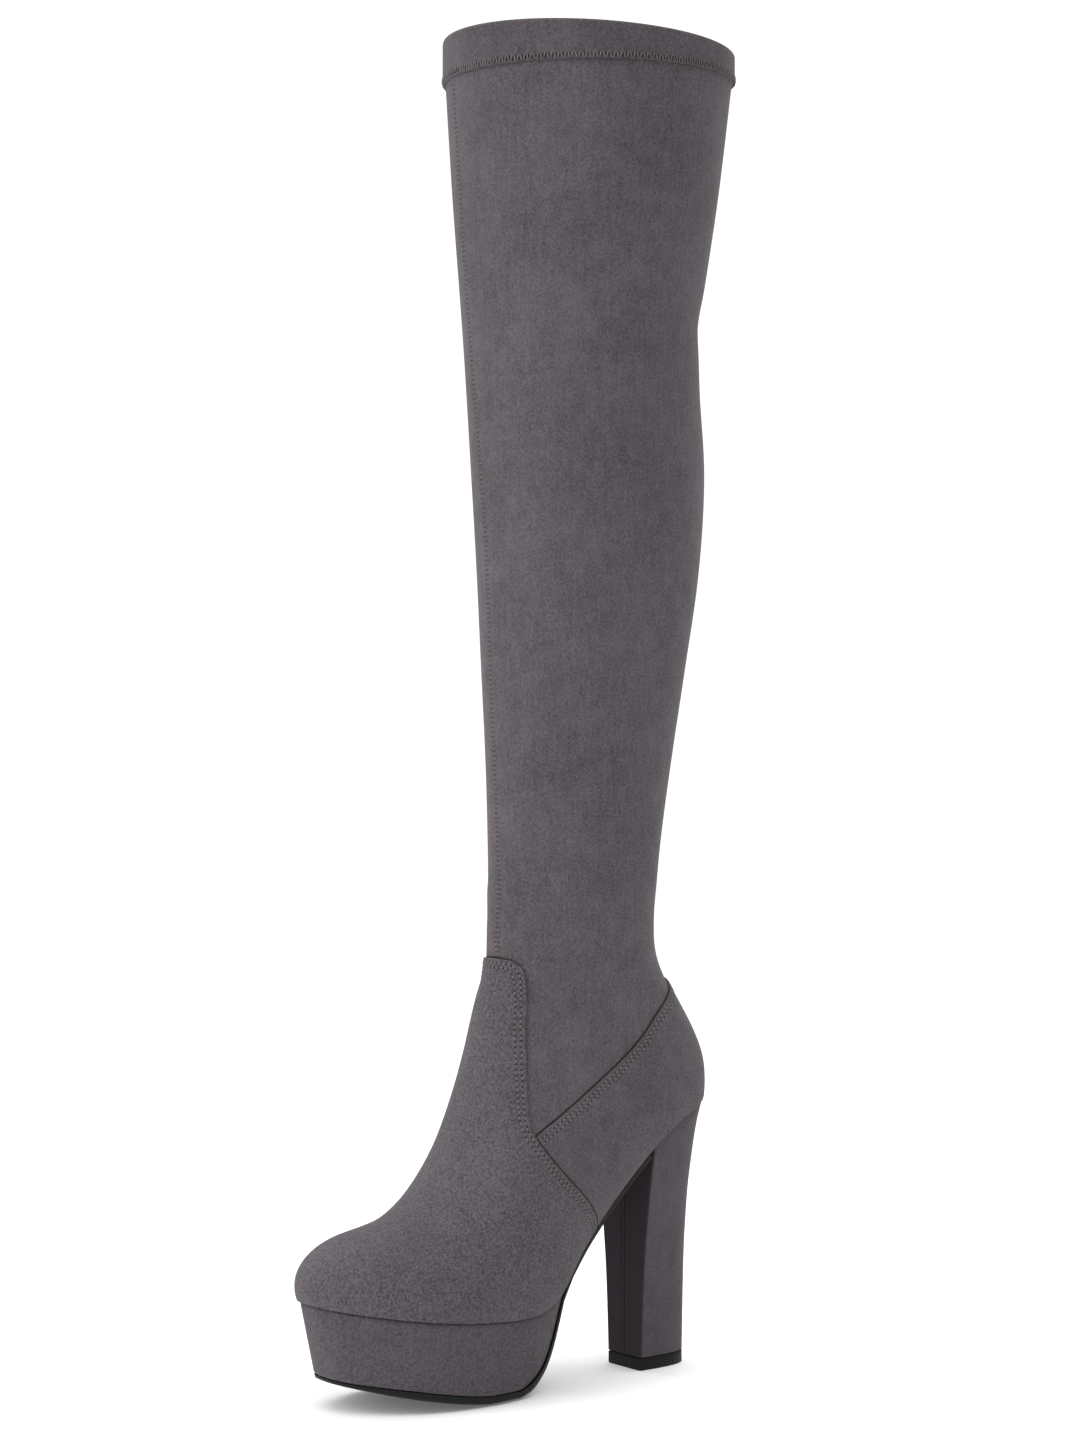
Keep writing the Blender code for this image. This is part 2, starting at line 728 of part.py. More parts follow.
def main():
    clear_scene()
    start, end = -TOE_LENGTH - MARGIN, REAR_LENGTH + MARGIN
    ys = [start + (end - start) * k / LINE_STATIONS for k in range(LINE_STATIONS + 1)]
    under = [(y, lasting_height(y)) for y in ys]
    under_foot = make_prism("under_foot", under + [(end, -MARGIN), (start, -MARGIN)])
    vamp_line = smooth_line([place(*row) for row in VAMP_EDGE])
    counter_line = smooth_line([place(*row) for row in COUNTER_EDGE])

    make_upper(under_foot)
    make_vamp(vamp_line, under_foot)
    make_counter(counter_line, vamp_line, under_foot)
    feather = feather_loop(0.0)
    make_outsole(feather)
    make_platform(feather)
    make_insole()
    make_heel(feather)
    make_heel_tip()


main()
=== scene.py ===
"""A left thigh-high boot in dark microsuede: shaft, stitched panels, covered platform and block heel.

Metres, +Z up, toe towards -Y, outer side of the foot towards +X, origin on the floor under the ball.
"""

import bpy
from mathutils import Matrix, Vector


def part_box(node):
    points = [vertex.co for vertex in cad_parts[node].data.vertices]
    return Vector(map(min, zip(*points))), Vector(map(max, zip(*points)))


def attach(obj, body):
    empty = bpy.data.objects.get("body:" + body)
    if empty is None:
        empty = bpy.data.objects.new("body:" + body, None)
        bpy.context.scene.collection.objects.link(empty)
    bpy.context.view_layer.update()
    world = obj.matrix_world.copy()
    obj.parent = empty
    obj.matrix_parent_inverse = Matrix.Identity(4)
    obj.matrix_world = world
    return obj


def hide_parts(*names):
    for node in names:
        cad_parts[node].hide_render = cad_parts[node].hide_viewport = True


bl_info = {
    "name": "Thigh High Boot",
    "version": (1, 0, 0),
    "blender": (4, 5, 0),
    "location": "View3D > Sidebar > Boot",
    "description": "Builds a thigh-high platform boot from its last, with panels, seams and stitching",
    "category": "Object",
}

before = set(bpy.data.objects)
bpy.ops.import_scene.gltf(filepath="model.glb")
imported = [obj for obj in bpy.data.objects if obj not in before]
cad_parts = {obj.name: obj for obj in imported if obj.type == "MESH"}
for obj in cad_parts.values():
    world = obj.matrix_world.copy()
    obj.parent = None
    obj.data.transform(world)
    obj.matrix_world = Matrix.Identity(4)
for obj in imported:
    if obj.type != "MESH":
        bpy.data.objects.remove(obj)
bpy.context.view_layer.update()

import math
from collections import namedtuple

import bmesh
import bpy
from mathutils import Matrix, Vector
from mathutils.bvhtree import BVHTree

RIM_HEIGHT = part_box("upper")[1].z

Section = namedtuple(
    "Section", "front_y front_z back_y back_z outer inner widest crown keel lean"
)

# One row for each section of the foot, from the toe to the ankle. Front is the toe and instep profile,
# back is the underside and heel profile, outer and inner are shares of half the ball width, widest is
# how far up from the back the section is widest, crown and keel say how boxy its two halves are.
FOOT_ROWS = (
    # front: along, lift, body | back: along, lift, body | outer, inner | widest, crown, keel
    (-0.983, 0.0, 0.215, -0.983, 0.0, 0.085, 0.12, 0.29, 0.50, 2.0, 2.0),
    (-0.935, 0.0, 0.275, -0.953, 0.0, 0.026, 0.33, 0.48, 0.47, 2.0, 2.0),
    (-0.850, 0.0, 0.322, -0.857, 0.0, -0.028, 0.53, 0.64, 0.43, 2.0, 2.2),
    (-0.735, 0.0, 0.352, -0.740, 0.0, -0.058, 0.70, 0.77, 0.39, 2.0, 2.5),
    (-0.590, 0.0, 0.372, -0.590, 0.0, -0.075, 0.85, 0.87, 0.37, 2.0, 2.8),
    (-0.420, 0.0, 0.418, -0.420, 0.0, -0.090, 0.94, 0.93, 0.37, 1.9, 3.0),
    (-0.250, 0.0, 0.530, -0.200, 0.0, -0.100, 0.97, 0.94, 0.36, 1.9, 3.2),
    (-0.110, 0.10, 0.640, 0.060, 0.0, -0.110, 0.96, 0.88, 0.37, 1.9, 3.2),
    (-0.025, 0.30, 0.660, 0.240, 0.09, -0.110, 0.86, 0.79, 0.40, 2.0, 2.8),
    (0.023, 0.55, 0.635, 0.420, 0.36, -0.100, 0.74, 0.71, 0.44, 2.0, 2.5),
    (0.048, 0.80, 0.560, 0.620, 0.65, -0.110, 0.72, 0.70, 0.48, 2.0, 2.5),
    (0.067, 0.95, 0.530, 0.830, 0.88, -0.120, 0.71, 0.70, 0.50, 2.0, 2.7),
    (0.080, 1.0, 0.540, 0.965, 1.0, -0.110, 0.71, 0.70, 0.50, 2.0, 2.7),
    (0.091, 1.0, 0.600, 1.012, 1.0, 0.040, 0.71, 0.71, 0.50, 2.0, 2.3),
    (0.097, 1.0, 0.690, 0.988, 1.0, 0.215, 0.72, 0.72, 0.50, 2.0, 2.0),
    (0.108, 1.0, 0.810, 0.810, 1.0, 0.540, 0.77, 0.77, 0.50, 2.0, 2.0),
    (0.120, 1.0, 0.920, 0.770, 1.0, 0.770, 0.79, 0.79, 0.50, 2.0, 2.0),
)
TOE_TIP_BODY = 0.140

# One row for each section of the leg: up is a share of its height, shift is how far its middle lies
# behind the ankle's as a share of the thigh's depth, and the rest name the sizes with shares of them.
LEG_ROWS = (
    # up, shift, depth size, share of it, width size, share of it
    (0.0, 0.0, "ankle_depth", 1.0, "ankle_width", 1.0),
    (0.125, 0.022, "ankle_depth", 1.08, "ankle_width", 1.115),
    (0.255, 0.044, "calf_depth", 0.873, "calf_width", 0.873),
    (0.380, 0.064, "calf_depth", 0.953, "calf_width", 0.951),
    (0.510, 0.063, "calf_depth", 1.0, "calf_width", 1.0),
    (0.640, 0.035, "knee_depth", 1.0, "knee_width", 1.0),
    (0.730, 0.038, "thigh_depth", 0.859, "thigh_width", 0.836),
    (0.860, 0.053, "thigh_depth", 0.931, "thigh_width", 0.93),
    (1.0, 0.068, "thigh_depth", 1.0, "thigh_width", 1.0),
)

# The lasting line, where the upper meets the sole, behind the ball
LASTING_ROWS = (
    # along, lift
    (0.0, 0.0),
    (0.08, 0.004),
    (0.16, 0.022),
    (0.24, 0.070),
    (0.32, 0.165),
    (0.42, 0.320),
    (0.56, 0.545),
    (0.70, 0.760),
    (0.82, 0.890),
    (0.92, 0.955),
    (1.0, 1.0),
)

# The outsole's underside from the toe, over the flat tread and up the back of the platform. Height is
# a share of the platform's height, and thickness a share of the outsole's.
TREAD_ROWS = (
    # along, height, thickness
    (-0.91, 0.335, 0.50),
    (-0.83, 0.292, 0.60),
    (-0.75, 0.250, 0.75),
    (-0.66, 0.202, 0.90),
    (-0.56, 0.155, 1.00),
    (-0.44, 0.105, 1.00),
    (-0.30, 0.050, 1.00),
    (-0.20, 0.018, 1.00),
    (-0.12, 0.0, 1.00),
    (0.050, 0.0, 1.00),
    (0.100, 0.060, 0.85),
    (0.150, 0.160, 0.70),
    (0.190, 0.285, 0.60),
    (0.219, 0.440, 0.55),
    (0.237, 0.610, 0.50),
    (0.253, 0.830, 0.45),
    (0.268, 1.060, 0.40),
)

# The heel block: up is a share of its height, and width and back say how far it has grown from the
# foot's outline to the seat's.
HEEL_ROWS = (
    # up, width, back
    (0.0, 0.0, 0.0),
    (0.35, 0.17, 0.05),
    (0.60, 0.40, 0.18),
    (0.80, 0.67, 0.45),
    (0.92, 0.86, 0.70),
    (1.0, 1.0, 1.0),
)

# Side view of the edge of the vamp, from the top of its tongue down to the sole
VAMP_EDGE = (
    # along, lift, body
    (0.000, 1.0, 0.627),
    (0.050, 1.0, 0.627),
    (0.090, 1.0, 0.627),
    (0.113, 1.0, 0.621),
    (0.130, 1.0, 0.605),
    (0.141, 1.0, 0.582),
    (0.146, 1.0, 0.550),
    (0.145, 1.0, 0.500),
    (0.136, 1.0, 0.425),
    (0.123, 1.0, 0.340),
    (0.110, 1.0, 0.190),
    (0.098, 1.0, 0.060),
    (0.092, 0.95, 0.0),
    (0.115, 0.86, 0.0),
    (0.200, 0.71, 0.0),
    (0.360, 0.50, 0.0),
    (0.440, 0.36, 0.0),
    (0.480, 0.20, 0.0),
)

# Side view of the top edge of the counter, from in front of the vamp's edge to behind the heel
COUNTER_EDGE = (
    # along, lift, body
    (0.000, 0.76, 0.0),
    (0.115, 0.88, 0.0),
    (0.220, 0.97, 0.0),
    (0.390, 1.0, 0.108),
    (0.486, 1.0, 0.185),
    (0.587, 1.0, 0.283),
    (0.676, 1.0, 0.395),
    (0.810, 1.0, 0.510),
    (1.000, 1.0, 0.640),
    (1.150, 1.0, 0.740),
)

# The seam up the front of the shaft: across is a share of half the thigh's width
FRONT_SEAM = (
    # share of the rim's height, across
    (0.315, 0.045),
    (0.365, 0.003),
    (0.402, -0.031),
    (0.450, -0.064),
    (0.490, -0.081),
    (0.540, -0.088),
    (0.620, -0.091),
    (0.710, -0.136),
    (0.850, -0.200),
    (0.970, -0.240),
)

# Soft folds and hollows in the shaft, on section numbers along it and degrees around it from the outer
# side over the front. Rise is a share of the wall, out where it is positive.
FOLD_ROWS = (
    # along, around, length along, length around, tilt, rise
    (15.0, 62.0, 0.55, 13.0, 0.0, -0.75),
    (15.6, 40.0, 0.50, 26.0, 14.0, 0.45),
    (14.3, 25.0, 0.50, 24.0, 18.0, -0.45),
    (15.2, -62.0, 0.60, 26.0, -8.0, -0.55),
    (16.6, -50.0, 0.45, 40.0, -12.0, 0.40),
    (15.2, 240.0, 0.60, 26.0, 8.0, -0.55),
    (15.0, 120.0, 0.55, 15.0, 0.0, -0.60),
    (22.6, -72.0, 0.28, 36.0, 4.0, -1.00),
    (22.0, -60.0, 0.35, 30.0, 9.0, 0.55),
    (22.5, 250.0, 0.30, 34.0, -6.0, -0.80),
    (23.6, 10.0, 0.50, 26.0, 16.0, -0.40),
    (21.2, 20.0, 0.60, 30.0, -12.0, 0.35),
    (24.4, 75.0, 0.35, 22.0, 0.0, -0.40),
)

HULL_POINTS = 48
TOE_SECTIONS = 4
FOLDS_ABOVE = 13
FAR = 0.3
MARGIN = 0.02
TIP_WELD = 0.00018
HEM_RIPPLE = 0.00018
SEAM_DEPTH = 0.0003
SOLE_DRAFT = 0.20
WAIST_START = 0.31

# The edge of the outsole from its underside to its top, and the platform's side from low to high
SOLE_EDGE = (
    # share of the thickness, share of the roll
    (0.0, 1.0),
    (0.06, 0.62),
    (0.20, 0.30),
    (0.36, 0.08),
    (0.50, 0.0),
    (1.0, 0.0),
)
PLATFORM_SIDE = (
    # share of the height, how far its rounded edges come in
    (0.0, 0.0007),
    (0.012, 0.00021),
    (0.03, 0.0),
    *((k / 8, 0.0) for k in range(1, 8)),
    (0.965, 0.0),
    (0.985, 0.00025),
    (0.996, 0.0007),
    (1.0, 0.0010),
)

# Across the heel's breast, with the seam at its middle
BREAST_SHARES = (0.985, 0.75, 0.45, 0.2, 0.045, 0.0, -0.045, -0.2, -0.45, -0.75, -0.985)
SEAM = BREAST_SHARES.index(0.0)

# The camera as it was fitted to the photograph. Turn is in degrees off the side view.
VIEW_TURN = 36
CAMERA_DISTANCE = 1.418
CAMERA_SHIFT = 0.0318
CAMERA_HEIGHT = 0.3093
FOCAL_PIXELS = 3075
PHOTO_PIXELS = 1440

LIGHTS = (
    # name, towards the camera, to its right, up, height of its aim, width, length, power
    ("overhead", 0.2, 0.0, 2.6, 0.0, 4.4, 4.4, 108),
    ("key", 1.2, -1.9, 1.3, 0.28, 1.4, 1.6, 32),
    ("back", -1.7, 0.8, 1.2, 0.28, 1.4, 1.4, 5),
)

SIZES = (
    # name, metres, what it is
    ("toe_length", 0.086, "From the ball to the toe"),
    ("rear_length", 0.129, "From the ball to the back of the heel"),
    ("ball_width", 0.088, "Width over the ball"),
    ("heel_height", 0.130, "Height of the heel's seat"),
    ("ankle_rise", 0.110, "From the heel's seat to the ankle"),
    ("ankle_depth", 0.085, "Front to back at the ankle"),
    ("ankle_width", 0.071, "Side to side at the ankle"),
    ("calf_depth", 0.116, "Front to back at the calf"),
    ("calf_width", 0.102, "Side to side at the calf"),
    ("knee_depth", 0.115, "Front to back at the knee"),
    ("knee_width", 0.102, "Side to side at the knee"),
    ("thigh_depth", 0.140, "Front to back at the hem"),
    ("thigh_width", 0.129, "Side to side at the hem"),
    ("leg_setback", 0.0586, "How far the ankle lies behind the ball"),
    ("boot_height", 0.6268, "Height of the rim's middle"),
    ("hem_height", 0.0168, "Height of the hem band"),
    ("hem_step", 0.0014, "How far the hem stands out"),
    ("platform_height", 0.039, "Height of the platform at the ball"),
    ("toe_lift", 0.0095, "Rise of the lasting line at the toe"),
    ("platform_inset", -0.0004, "Inset of the platform's top edge"),
    ("outsole_thickness", 0.0045, "Thickness of the tread"),
    ("tread_edge", 0.006, "How far the tread's edge rolls in"),
    ("waist_thickness", 0.0024, "Outsole under the arch"),
    ("sole_flare", 0.0012, "How far the outsole's edge stands out behind the ball"),
    ("heel_breast", 0.089, "Where the heel's front face stands"),
    ("heel_foot_width", 0.0245, "Width of the heel at the floor"),
    ("heel_foot_length", 0.0325, "Length of the heel at the floor"),
    ("heel_tip_height", 0.006, "Thickness of the top lift"),
    ("heel_inset", -0.0008, "Inset of the heel under the upper"),
    ("gap", 0.0003, "Gap between pieces that touch"),
)

LAYERS = (
    # name, metres, what it is
    ("wall", 0.0016, "Thickness of the upper"),
    ("vamp", 0.0010, "Thickness of the vamp panel"),
    ("counter", 0.0008, "Thickness of the counter panel"),
    ("first_row", 0.0018, "Stitches' distance from a panel's edge"),
    ("second_row", 0.0040, "Second row's distance from the edge"),
    ("stitch", 0.0019, "Length of a stitch"),
    ("pitch", 0.0026, "From stitch to stitch"),
    ("thread", 0.0006, "Thickness of the thread"),
    # A needle hole is drawn as a dot of painted shade.
    ("needle_hole", 0.0013, "Needle hole in a panel"),
    # Painted shade: the dark line at the foot of each panel's edge and down the heel's seam is this thick.
    ("edge_line", 0.00034, "Half the thickness of the dark line along a panel's edge"),
    ("edge_offset", 0.0005, "How far outside a panel's edge that line lies"),
    ("cover_stitch", 0.0034, "Height of the hem's cover stitch"),
    ("cover_pitch", 0.0016, "Between the hem's stitches"),
)

COLOURS = (
    # name, red, green and blue, where it is seen
    ("suede", (0.080, 0.070, 0.078), "Colour of the shaft"),
    ("panel", (0.078, 0.069, 0.077), "Colour of the vamp and counter"),
    ("cover", (0.070, 0.061, 0.069), "Colour of the platform and heel"),
    ("lining", (0.050, 0.046, 0.048), "Colour of the lining"),
    ("yarn", (0.140, 0.126, 0.136), "Colour of the thread"),
    # The hole colour is painted shade: the dark in the needle holes, between the hem's stitches, down the
    # heel's seam and at the foot of the panels' edges.
    ("hole", (0.010, 0.009, 0.010), "Colour in the needle holes and along cut edges"),
    ("rubber", (0.006, 0.006, 0.007), "Colour of the outsole and top lift"),
    ("floor", (0.95, 0.95, 0.95), "Colour of the floor"),
)


class BootSizes(bpy.types.PropertyGroup):
    """Sizes of the last, the leg and the bottom."""


class BootCloth(bpy.types.PropertyGroup):
    """Layers, threads and colours."""


def label(name):
    return name.replace("_", " ").capitalize()


def length(name, default, description):
    return bpy.props.FloatProperty(
        name=label(name), description=description, default=default, unit="LENGTH", subtype="DISTANCE",
        precision=5,
    )


def colour(name, default, description):
    return bpy.props.FloatVectorProperty(
        name=label(name), description=description, default=default, subtype="COLOR", size=3, min=0, max=1
    )


BootSizes.__annotations__ = {row[0]: length(*row) for row in SIZES}
BootCloth.__annotations__ = {row[0]: length(*row) for row in LAYERS}
BootCloth.__annotations__.update({row[0]: colour(*row) for row in COLOURS})


def sizes():
    return bpy.context.scene.boot_sizes


def cloth():
    return bpy.context.scene.boot_cloth


# The last


def hermite(f, a, b, start, end):
    return (
        a * (2 * f**3 - 3 * f**2 + 1)
        + start * (f**3 - 2 * f**2 + f)
        + b * (3 * f**2 - 2 * f**3)
        + end * (f**3 - f**2)
    )


def row_between(rows, t):
    """The values of a table at row number t, on a smooth curve through its rows."""
    last = len(rows) - 1
    i = min(max(int(t), 0), last - 1)
    f = t - i
    before, here, there, after = (rows[min(max(k, 0), last)] for k in range(i - 1, i + 3))
    return [
        hermite(f, b, c, (c - a) / 2, (d - b) / 2) for a, b, c, d in zip(before, here, there, after)
    ]


def value_at(rows, x, column=1):
    """A column of a table where its first column is x, on a smooth curve that never overshoots."""
    x = min(max(x, rows[0][0]), rows[-1][0])
    slopes = [(b[column] - a[column]) / (b[0] - a[0]) for a, b in zip(rows, rows[1:])]
    i = next(k for k in range(len(slopes)) if x <= rows[k + 1][0])

    def slope_at(k):
        if k == 0 or k == len(slopes):
            return slopes[max(k - 1, 0)]
        a, b = slopes[k - 1], slopes[k]
        return 2 * a * b / (a + b) if a * b > 0 else 0.0

    width = rows[i + 1][0] - rows[i][0]
    f = (x - rows[i][0]) / width
    ends = rows[i][column], rows[i + 1][column]
    return hermite(f, *ends, slope_at(i) * width, slope_at(i + 1) * width)


def rise():
    return sizes().heel_height - sizes().platform_height


def place(along, lift, body):
    """Side view (y, z) of a place on the last."""
    s = sizes()
    y = along * (s.toe_length if along < 0 else s.rear_length)
    return y, s.platform_height + lift * rise() + body * s.ankle_rise


def lasting_height(y):
    """Height of the lasting line above the floor."""
    s = sizes()
    if y < 0:
        return s.platform_height + s.toe_lift * min(-y / s.toe_length, 1.0) ** 1.5
    return s.platform_height + rise() * value_at(LASTING_ROWS, y / s.rear_length)


def lasting_slope(y):
    step = 0.001
    return (lasting_height(y + step) - lasting_height(y - step)) / (2 * step)


def seat_height(y):
    """Height at y of what lies under the lasting line with a gap to it."""
    return lasting_height(y) - sizes().gap * math.hypot(lasting_slope(y), 1)


def foot_section(row):
    half = sizes().ball_width / 2
    return Section(*place(*row[0:3]), *place(*row[3:6]), row[6] * half, row[7] * half, *row[8:], 0.0)


def leg_section(row):
    s = sizes()
    up, shift, depth_size, depth_share, width_size, width_share = row
    start = s.heel_height + s.ankle_rise
    z = start + up * (s.boot_height - s.hem_height - start)
    middle = s.leg_setback + shift * s.thigh_depth
    reach = getattr(s, depth_size) * depth_share / 2
    side = getattr(s, width_size) * width_share / 2
    return Section(middle - reach, z, middle + reach, z, side, side, 0.5, 2.0, 2.0, 0.0)


def form_sections():
    """Every section of the outer form from the toe to the hem, and the rim's."""
    hem_slope, rim_slope, rim_lean = 0.028, -0.030, -0.022
    rows = [foot_section(row) for row in FOOT_ROWS] + [leg_section(row) for row in LEG_ROWS]
    top = rows.pop()
    half = (top.back_y - top.front_y) / 2
    height = sizes().boot_height
    line = height - sizes().hem_height
    rows.append(top._replace(front_z=line - hem_slope * half, back_z=line + hem_slope * half))
    rim = top._replace(
        front_z=height - rim_slope * half, back_z=height + rim_slope * half, lean=rim_lean
    )
    return rows, rim


def fold_rise(t, degrees):
    """How far the folds lift the cloth at a place on the shaft."""
    total = 0.0
    for along, around, high, wide, tilt, share in FOLD_ROWS:
        across = (degrees - around + 180) % 360 - 180
        up = (t - along) - across / wide * tilt / 60
        total += share * math.exp(-((up / high) ** 2) - (across / wide) ** 2)
    return total * cloth().wall


def section_ring(s):
    """Points around a section of the form, evenly spaced in each quarter of the way round."""
    front = Vector((0, s.front_y, s.front_z))
    back = Vector((0, s.back_y, s.back_z))
    fine, quarter = 40, HULL_POINTS // 4

    def point(angle):
        across, up = math.cos(angle), math.sin(angle)
        power = 2 / (s.crown if up > 0 else s.keel)
        reach = 1 - s.widest if up > 0 else s.widest
        made = back.lerp(front, s.widest + math.copysign(abs(up) ** power, up) * reach)
        made.x = abs(across) ** power * (s.outer if across > 0 else -s.inner)
        made.z += s.lean * made.x
        return made

    ring = []
    for q in range(4):
        path = [point(math.pi / 2 * (q + k / fine)) for k in range(fine + 1)]
        ring += evenly(path, quarter)[:-1]
    return ring


def distances(path):
    """How far each point of a path lies along it."""
    run = [0.0]
    for a, b in zip(path, path[1:]):
        run.append(run[-1] + (b - a).length)
    return run


def spots(points, shares):
    """For rising shares of the way along a path: the number of the point before it, and the part beyond."""
    run = distances(points)
    i = 0
    for share in shares:
        want = run[-1] * share
        while i < len(run) - 2 and run[i + 1] < want:
            i += 1
        part = (want - run[i]) / max(run[i + 1] - run[i], 1e-12)
        yield i, min(max(part, 0.0), 1.0)


def evenly(path, count):
    """count + 1 points at equal distances along a path of points."""
    shares = [k / count for k in range(count + 1)]
    return [path[i].lerp(path[i + 1], part) for i, part in spots(path, shares)]


def form_rings(last):
    """Rings from section number last down to the toe's, then the rings and the point that close the toe."""
    rows, _ = form_sections()
    toe_steps = [k / 2 for k in range(2 * TOE_SECTIONS)]
    steps = toe_steps + [k / 4 for k in range(4 * TOE_SECTIONS, 4 * last + 1)]
    rings = []
    for t in reversed(steps):
        ring = section_ring(Section(*row_between(rows, t)))
        if t > FOLDS_ABOVE:
            centre = sum(ring, Vector()) / len(ring)
            for k, p in enumerate(ring):
                degrees = 360 * k / HULL_POINTS
                ring[k] = p + (p - centre).normalized() * fold_rise(t, degrees)
        rings.append(ring)
    toe_y, toe_z = place(-1.0, 0.0, TOE_TIP_BODY)
    ends = rings[-1]
    toe = Vector(((ends[0].x + ends[HULL_POINTS // 2].x) / 2, toe_y, toe_z))
    for share in (0.66, 0.33):
        cap = []
        for p in ends:
            made = toe + (p - toe) * share
            made.y = toe.y + (p.y - toe.y) * share**2
            cap.append(made)
        rings.append(cap)
    return rings, toe


def hem_ring(up, outs):
    """Points around the hem at a share of its height, each so far out, with their directions outwards."""
    rows, rim = form_sections()
    low, high = section_ring(rows[-1]), section_ring(rim)
    centre = sum(low, Vector()) / len(low)
    ring = []
    for a, b, out in zip(low, high, outs):
        point = a.lerp(b, up)
        across = ((point - centre) * Vector((1, 1, 0))).normalized()
        ring.append((point + across * out, across))
    return ring


# Modelling


def deselect():
    if bpy.context.object and bpy.context.object.mode != "OBJECT":
        bpy.ops.object.mode_set(mode="OBJECT")
    bpy.ops.object.select_all(action="DESELECT")


def take_up(piece):
    deselect()
    piece.select_set(True)
    bpy.context.view_layer.objects.active = piece
    return piece


def name_new(name):
    """The object that an operator has just added, under its name."""
    piece = bpy.context.object
    piece.name = piece.data.name = name
    return piece


def draw_ring(piece, ring):
    """Puts the selected loop of vertices on the points of a ring, by their numbers."""
    mesh = bmesh.from_edit_mesh(piece.data)
    number = mesh.verts.layers.int["ring_number"]
    for vert in mesh.verts:
        if vert.select:
            vert.co = ring[vert[number]]
    bmesh.update_edit_mesh(piece.data)


def loft(name, rings, tip=None, start="OPEN", end="OPEN"):
    """A skin drawn out from the first ring through the others. An end is OPEN, FILLED or JOINED."""
    deselect()
    bpy.ops.mesh.primitive_circle_add(vertices=len(rings[0]), radius=1.0)
    piece = name_new(name)
    bpy.ops.object.mode_set(mode="EDIT")
    mesh = bmesh.from_edit_mesh(piece.data)
    number = mesh.verts.layers.int.new("ring_number")
    mesh.verts.ensure_lookup_table()
    for k, vert in enumerate(mesh.verts):
        vert[number] = k
    draw_ring(piece, rings[0])
    if start == "FILLED":
        bpy.ops.mesh.edge_face_add()
    for ring in rings[1:]:
        bpy.ops.mesh.extrude_edges_indiv()
        draw_ring(piece, ring)
    if tip is not None:
        bpy.ops.mesh.extrude_edges_indiv()
        bpy.ops.mesh.merge(type="CENTER")
        mesh = bmesh.from_edit_mesh(piece.data)
        for vert in mesh.verts:
            if vert.select:
                vert.co = tip
        bmesh.update_edit_mesh(piece.data)
    if end == "FILLED":
        bpy.ops.mesh.edge_face_add()
    if end == "JOINED":
        bpy.ops.mesh.select_all(action="DESELECT")
        bpy.ops.mesh.select_non_manifold()
        bpy.ops.mesh.bridge_edge_loops()
    bpy.ops.mesh.select_all(action="SELECT")
    bpy.ops.mesh.normals_make_consistent(inside=False)
    bpy.ops.object.mode_set(mode="OBJECT")
    return piece


def closed(name, rings):
    return loft(name, rings, start="FILLED", end="FILLED")


def finish_with(piece, kind, **settings):
    """Adds a modifier with its settings and applies it."""
    take_up(piece)
    bpy.ops.object.modifier_add(type=kind)
    modifier = piece.modifiers[-1]
    for key, value in settings.items():
        setattr(modifier, key, value)
    bpy.ops.object.modifier_apply(modifier=modifier.name)


def smooth(piece):
    finish_with(piece, "SUBSURF", levels=1, render_levels=1)


def foot_form(name):
    """An open skin over the foot, from above the ankle down to the toe."""
    piece = loft(name, *form_rings(len(FOOT_ROWS)))
    smooth(piece)
    return piece


def wall(piece, start, thickness):
    """Gives an open skin a wall, from start outside it outwards, or inwards where it is negative."""
    if start:
        finish_with(piece, "DISPLACE", strength=start, mid_level=0.0)
    finish_with(
        piece, "SOLIDIFY", thickness=abs(thickness), offset=math.copysign(1, thickness),
        use_even_offset=True,
    )


def cut(piece, cutter, operation="DIFFERENCE"):
    finish_with(piece, "BOOLEAN", object=cutter, operation=operation, solver="EXACT")


def prism(name, outline):
    """A cutter: a side view outline of (y, z) points, drawn out across the foot."""
    deselect()
    bpy.ops.mesh.primitive_circle_add(vertices=len(outline), radius=1.0, fill_type="NGON")
    cutter = name_new(name)
    for vert, (y, z) in zip(cutter.data.vertices, outline):
        vert.co = (-FAR, y, z)
    bpy.ops.object.mode_set(mode="EDIT")
    bpy.ops.mesh.select_all(action="SELECT")
    bpy.ops.mesh.extrude_region_move(TRANSFORM_OT_translate={"value": (2 * FAR, 0, 0)})
    bpy.ops.mesh.select_all(action="SELECT")
    bpy.ops.mesh.normals_make_consistent(inside=False)
    bpy.ops.object.mode_set(mode="OBJECT")
    return cutter


def discard(*pieces):
    for piece in pieces:
        bpy.data.objects.remove(piece)


def shade(piece, degrees):
    take_up(piece)
    bpy.ops.object.shade_smooth_by_angle(angle=math.radians(degrees))


def settle(piece, finish, slot, *nodes, degrees=None):
    """Gives a piece its material, hangs it under the root and hides the parts that it replaces.

    With degrees, its edges up to that angle are shaded smooth first. The slot is not used.
    """
    if degrees:
        shade(piece, degrees)
    piece.data.materials.clear()
    piece.data.materials.append(finished(finish))
    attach(piece, "root")
    if nodes:
        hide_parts(*nodes)
    deselect()


def tree_of(piece):
    depsgraph = bpy.context.evaluated_depsgraph_get()
    return BVHTree.FromObject(piece, depsgraph)


# Side view lines and cutters


def smooth_line(points, parts=8):
    """More points on a smooth curve through the given ones."""
    count = (len(points) - 1) * parts
    return [tuple(row_between(points, k / parts)) for k in range(count + 1)]


def vamp_line():
    return smooth_line([place(*row) for row in VAMP_EDGE])


def counter_line():
    return smooth_line([place(*row) for row in COUNTER_EDGE])


def rights(line):
    """The unit direction to the right of a line at each of its points."""
    found = []
    last = len(line) - 1
    for k in range(last + 1):
        before, after = line[max(k - 1, 0)], line[min(k + 1, last)]
        ahead, up = after[0] - before[0], after[1] - before[1]
        size = math.hypot(ahead, up)
        found.append((up / size, -ahead / size))
    return found


def beside(line, distance):
    """A line moved to its right-hand side."""
    return [(a + right[0] * distance, b + right[1] * distance) for (a, b), right in zip(line, rights(line))]


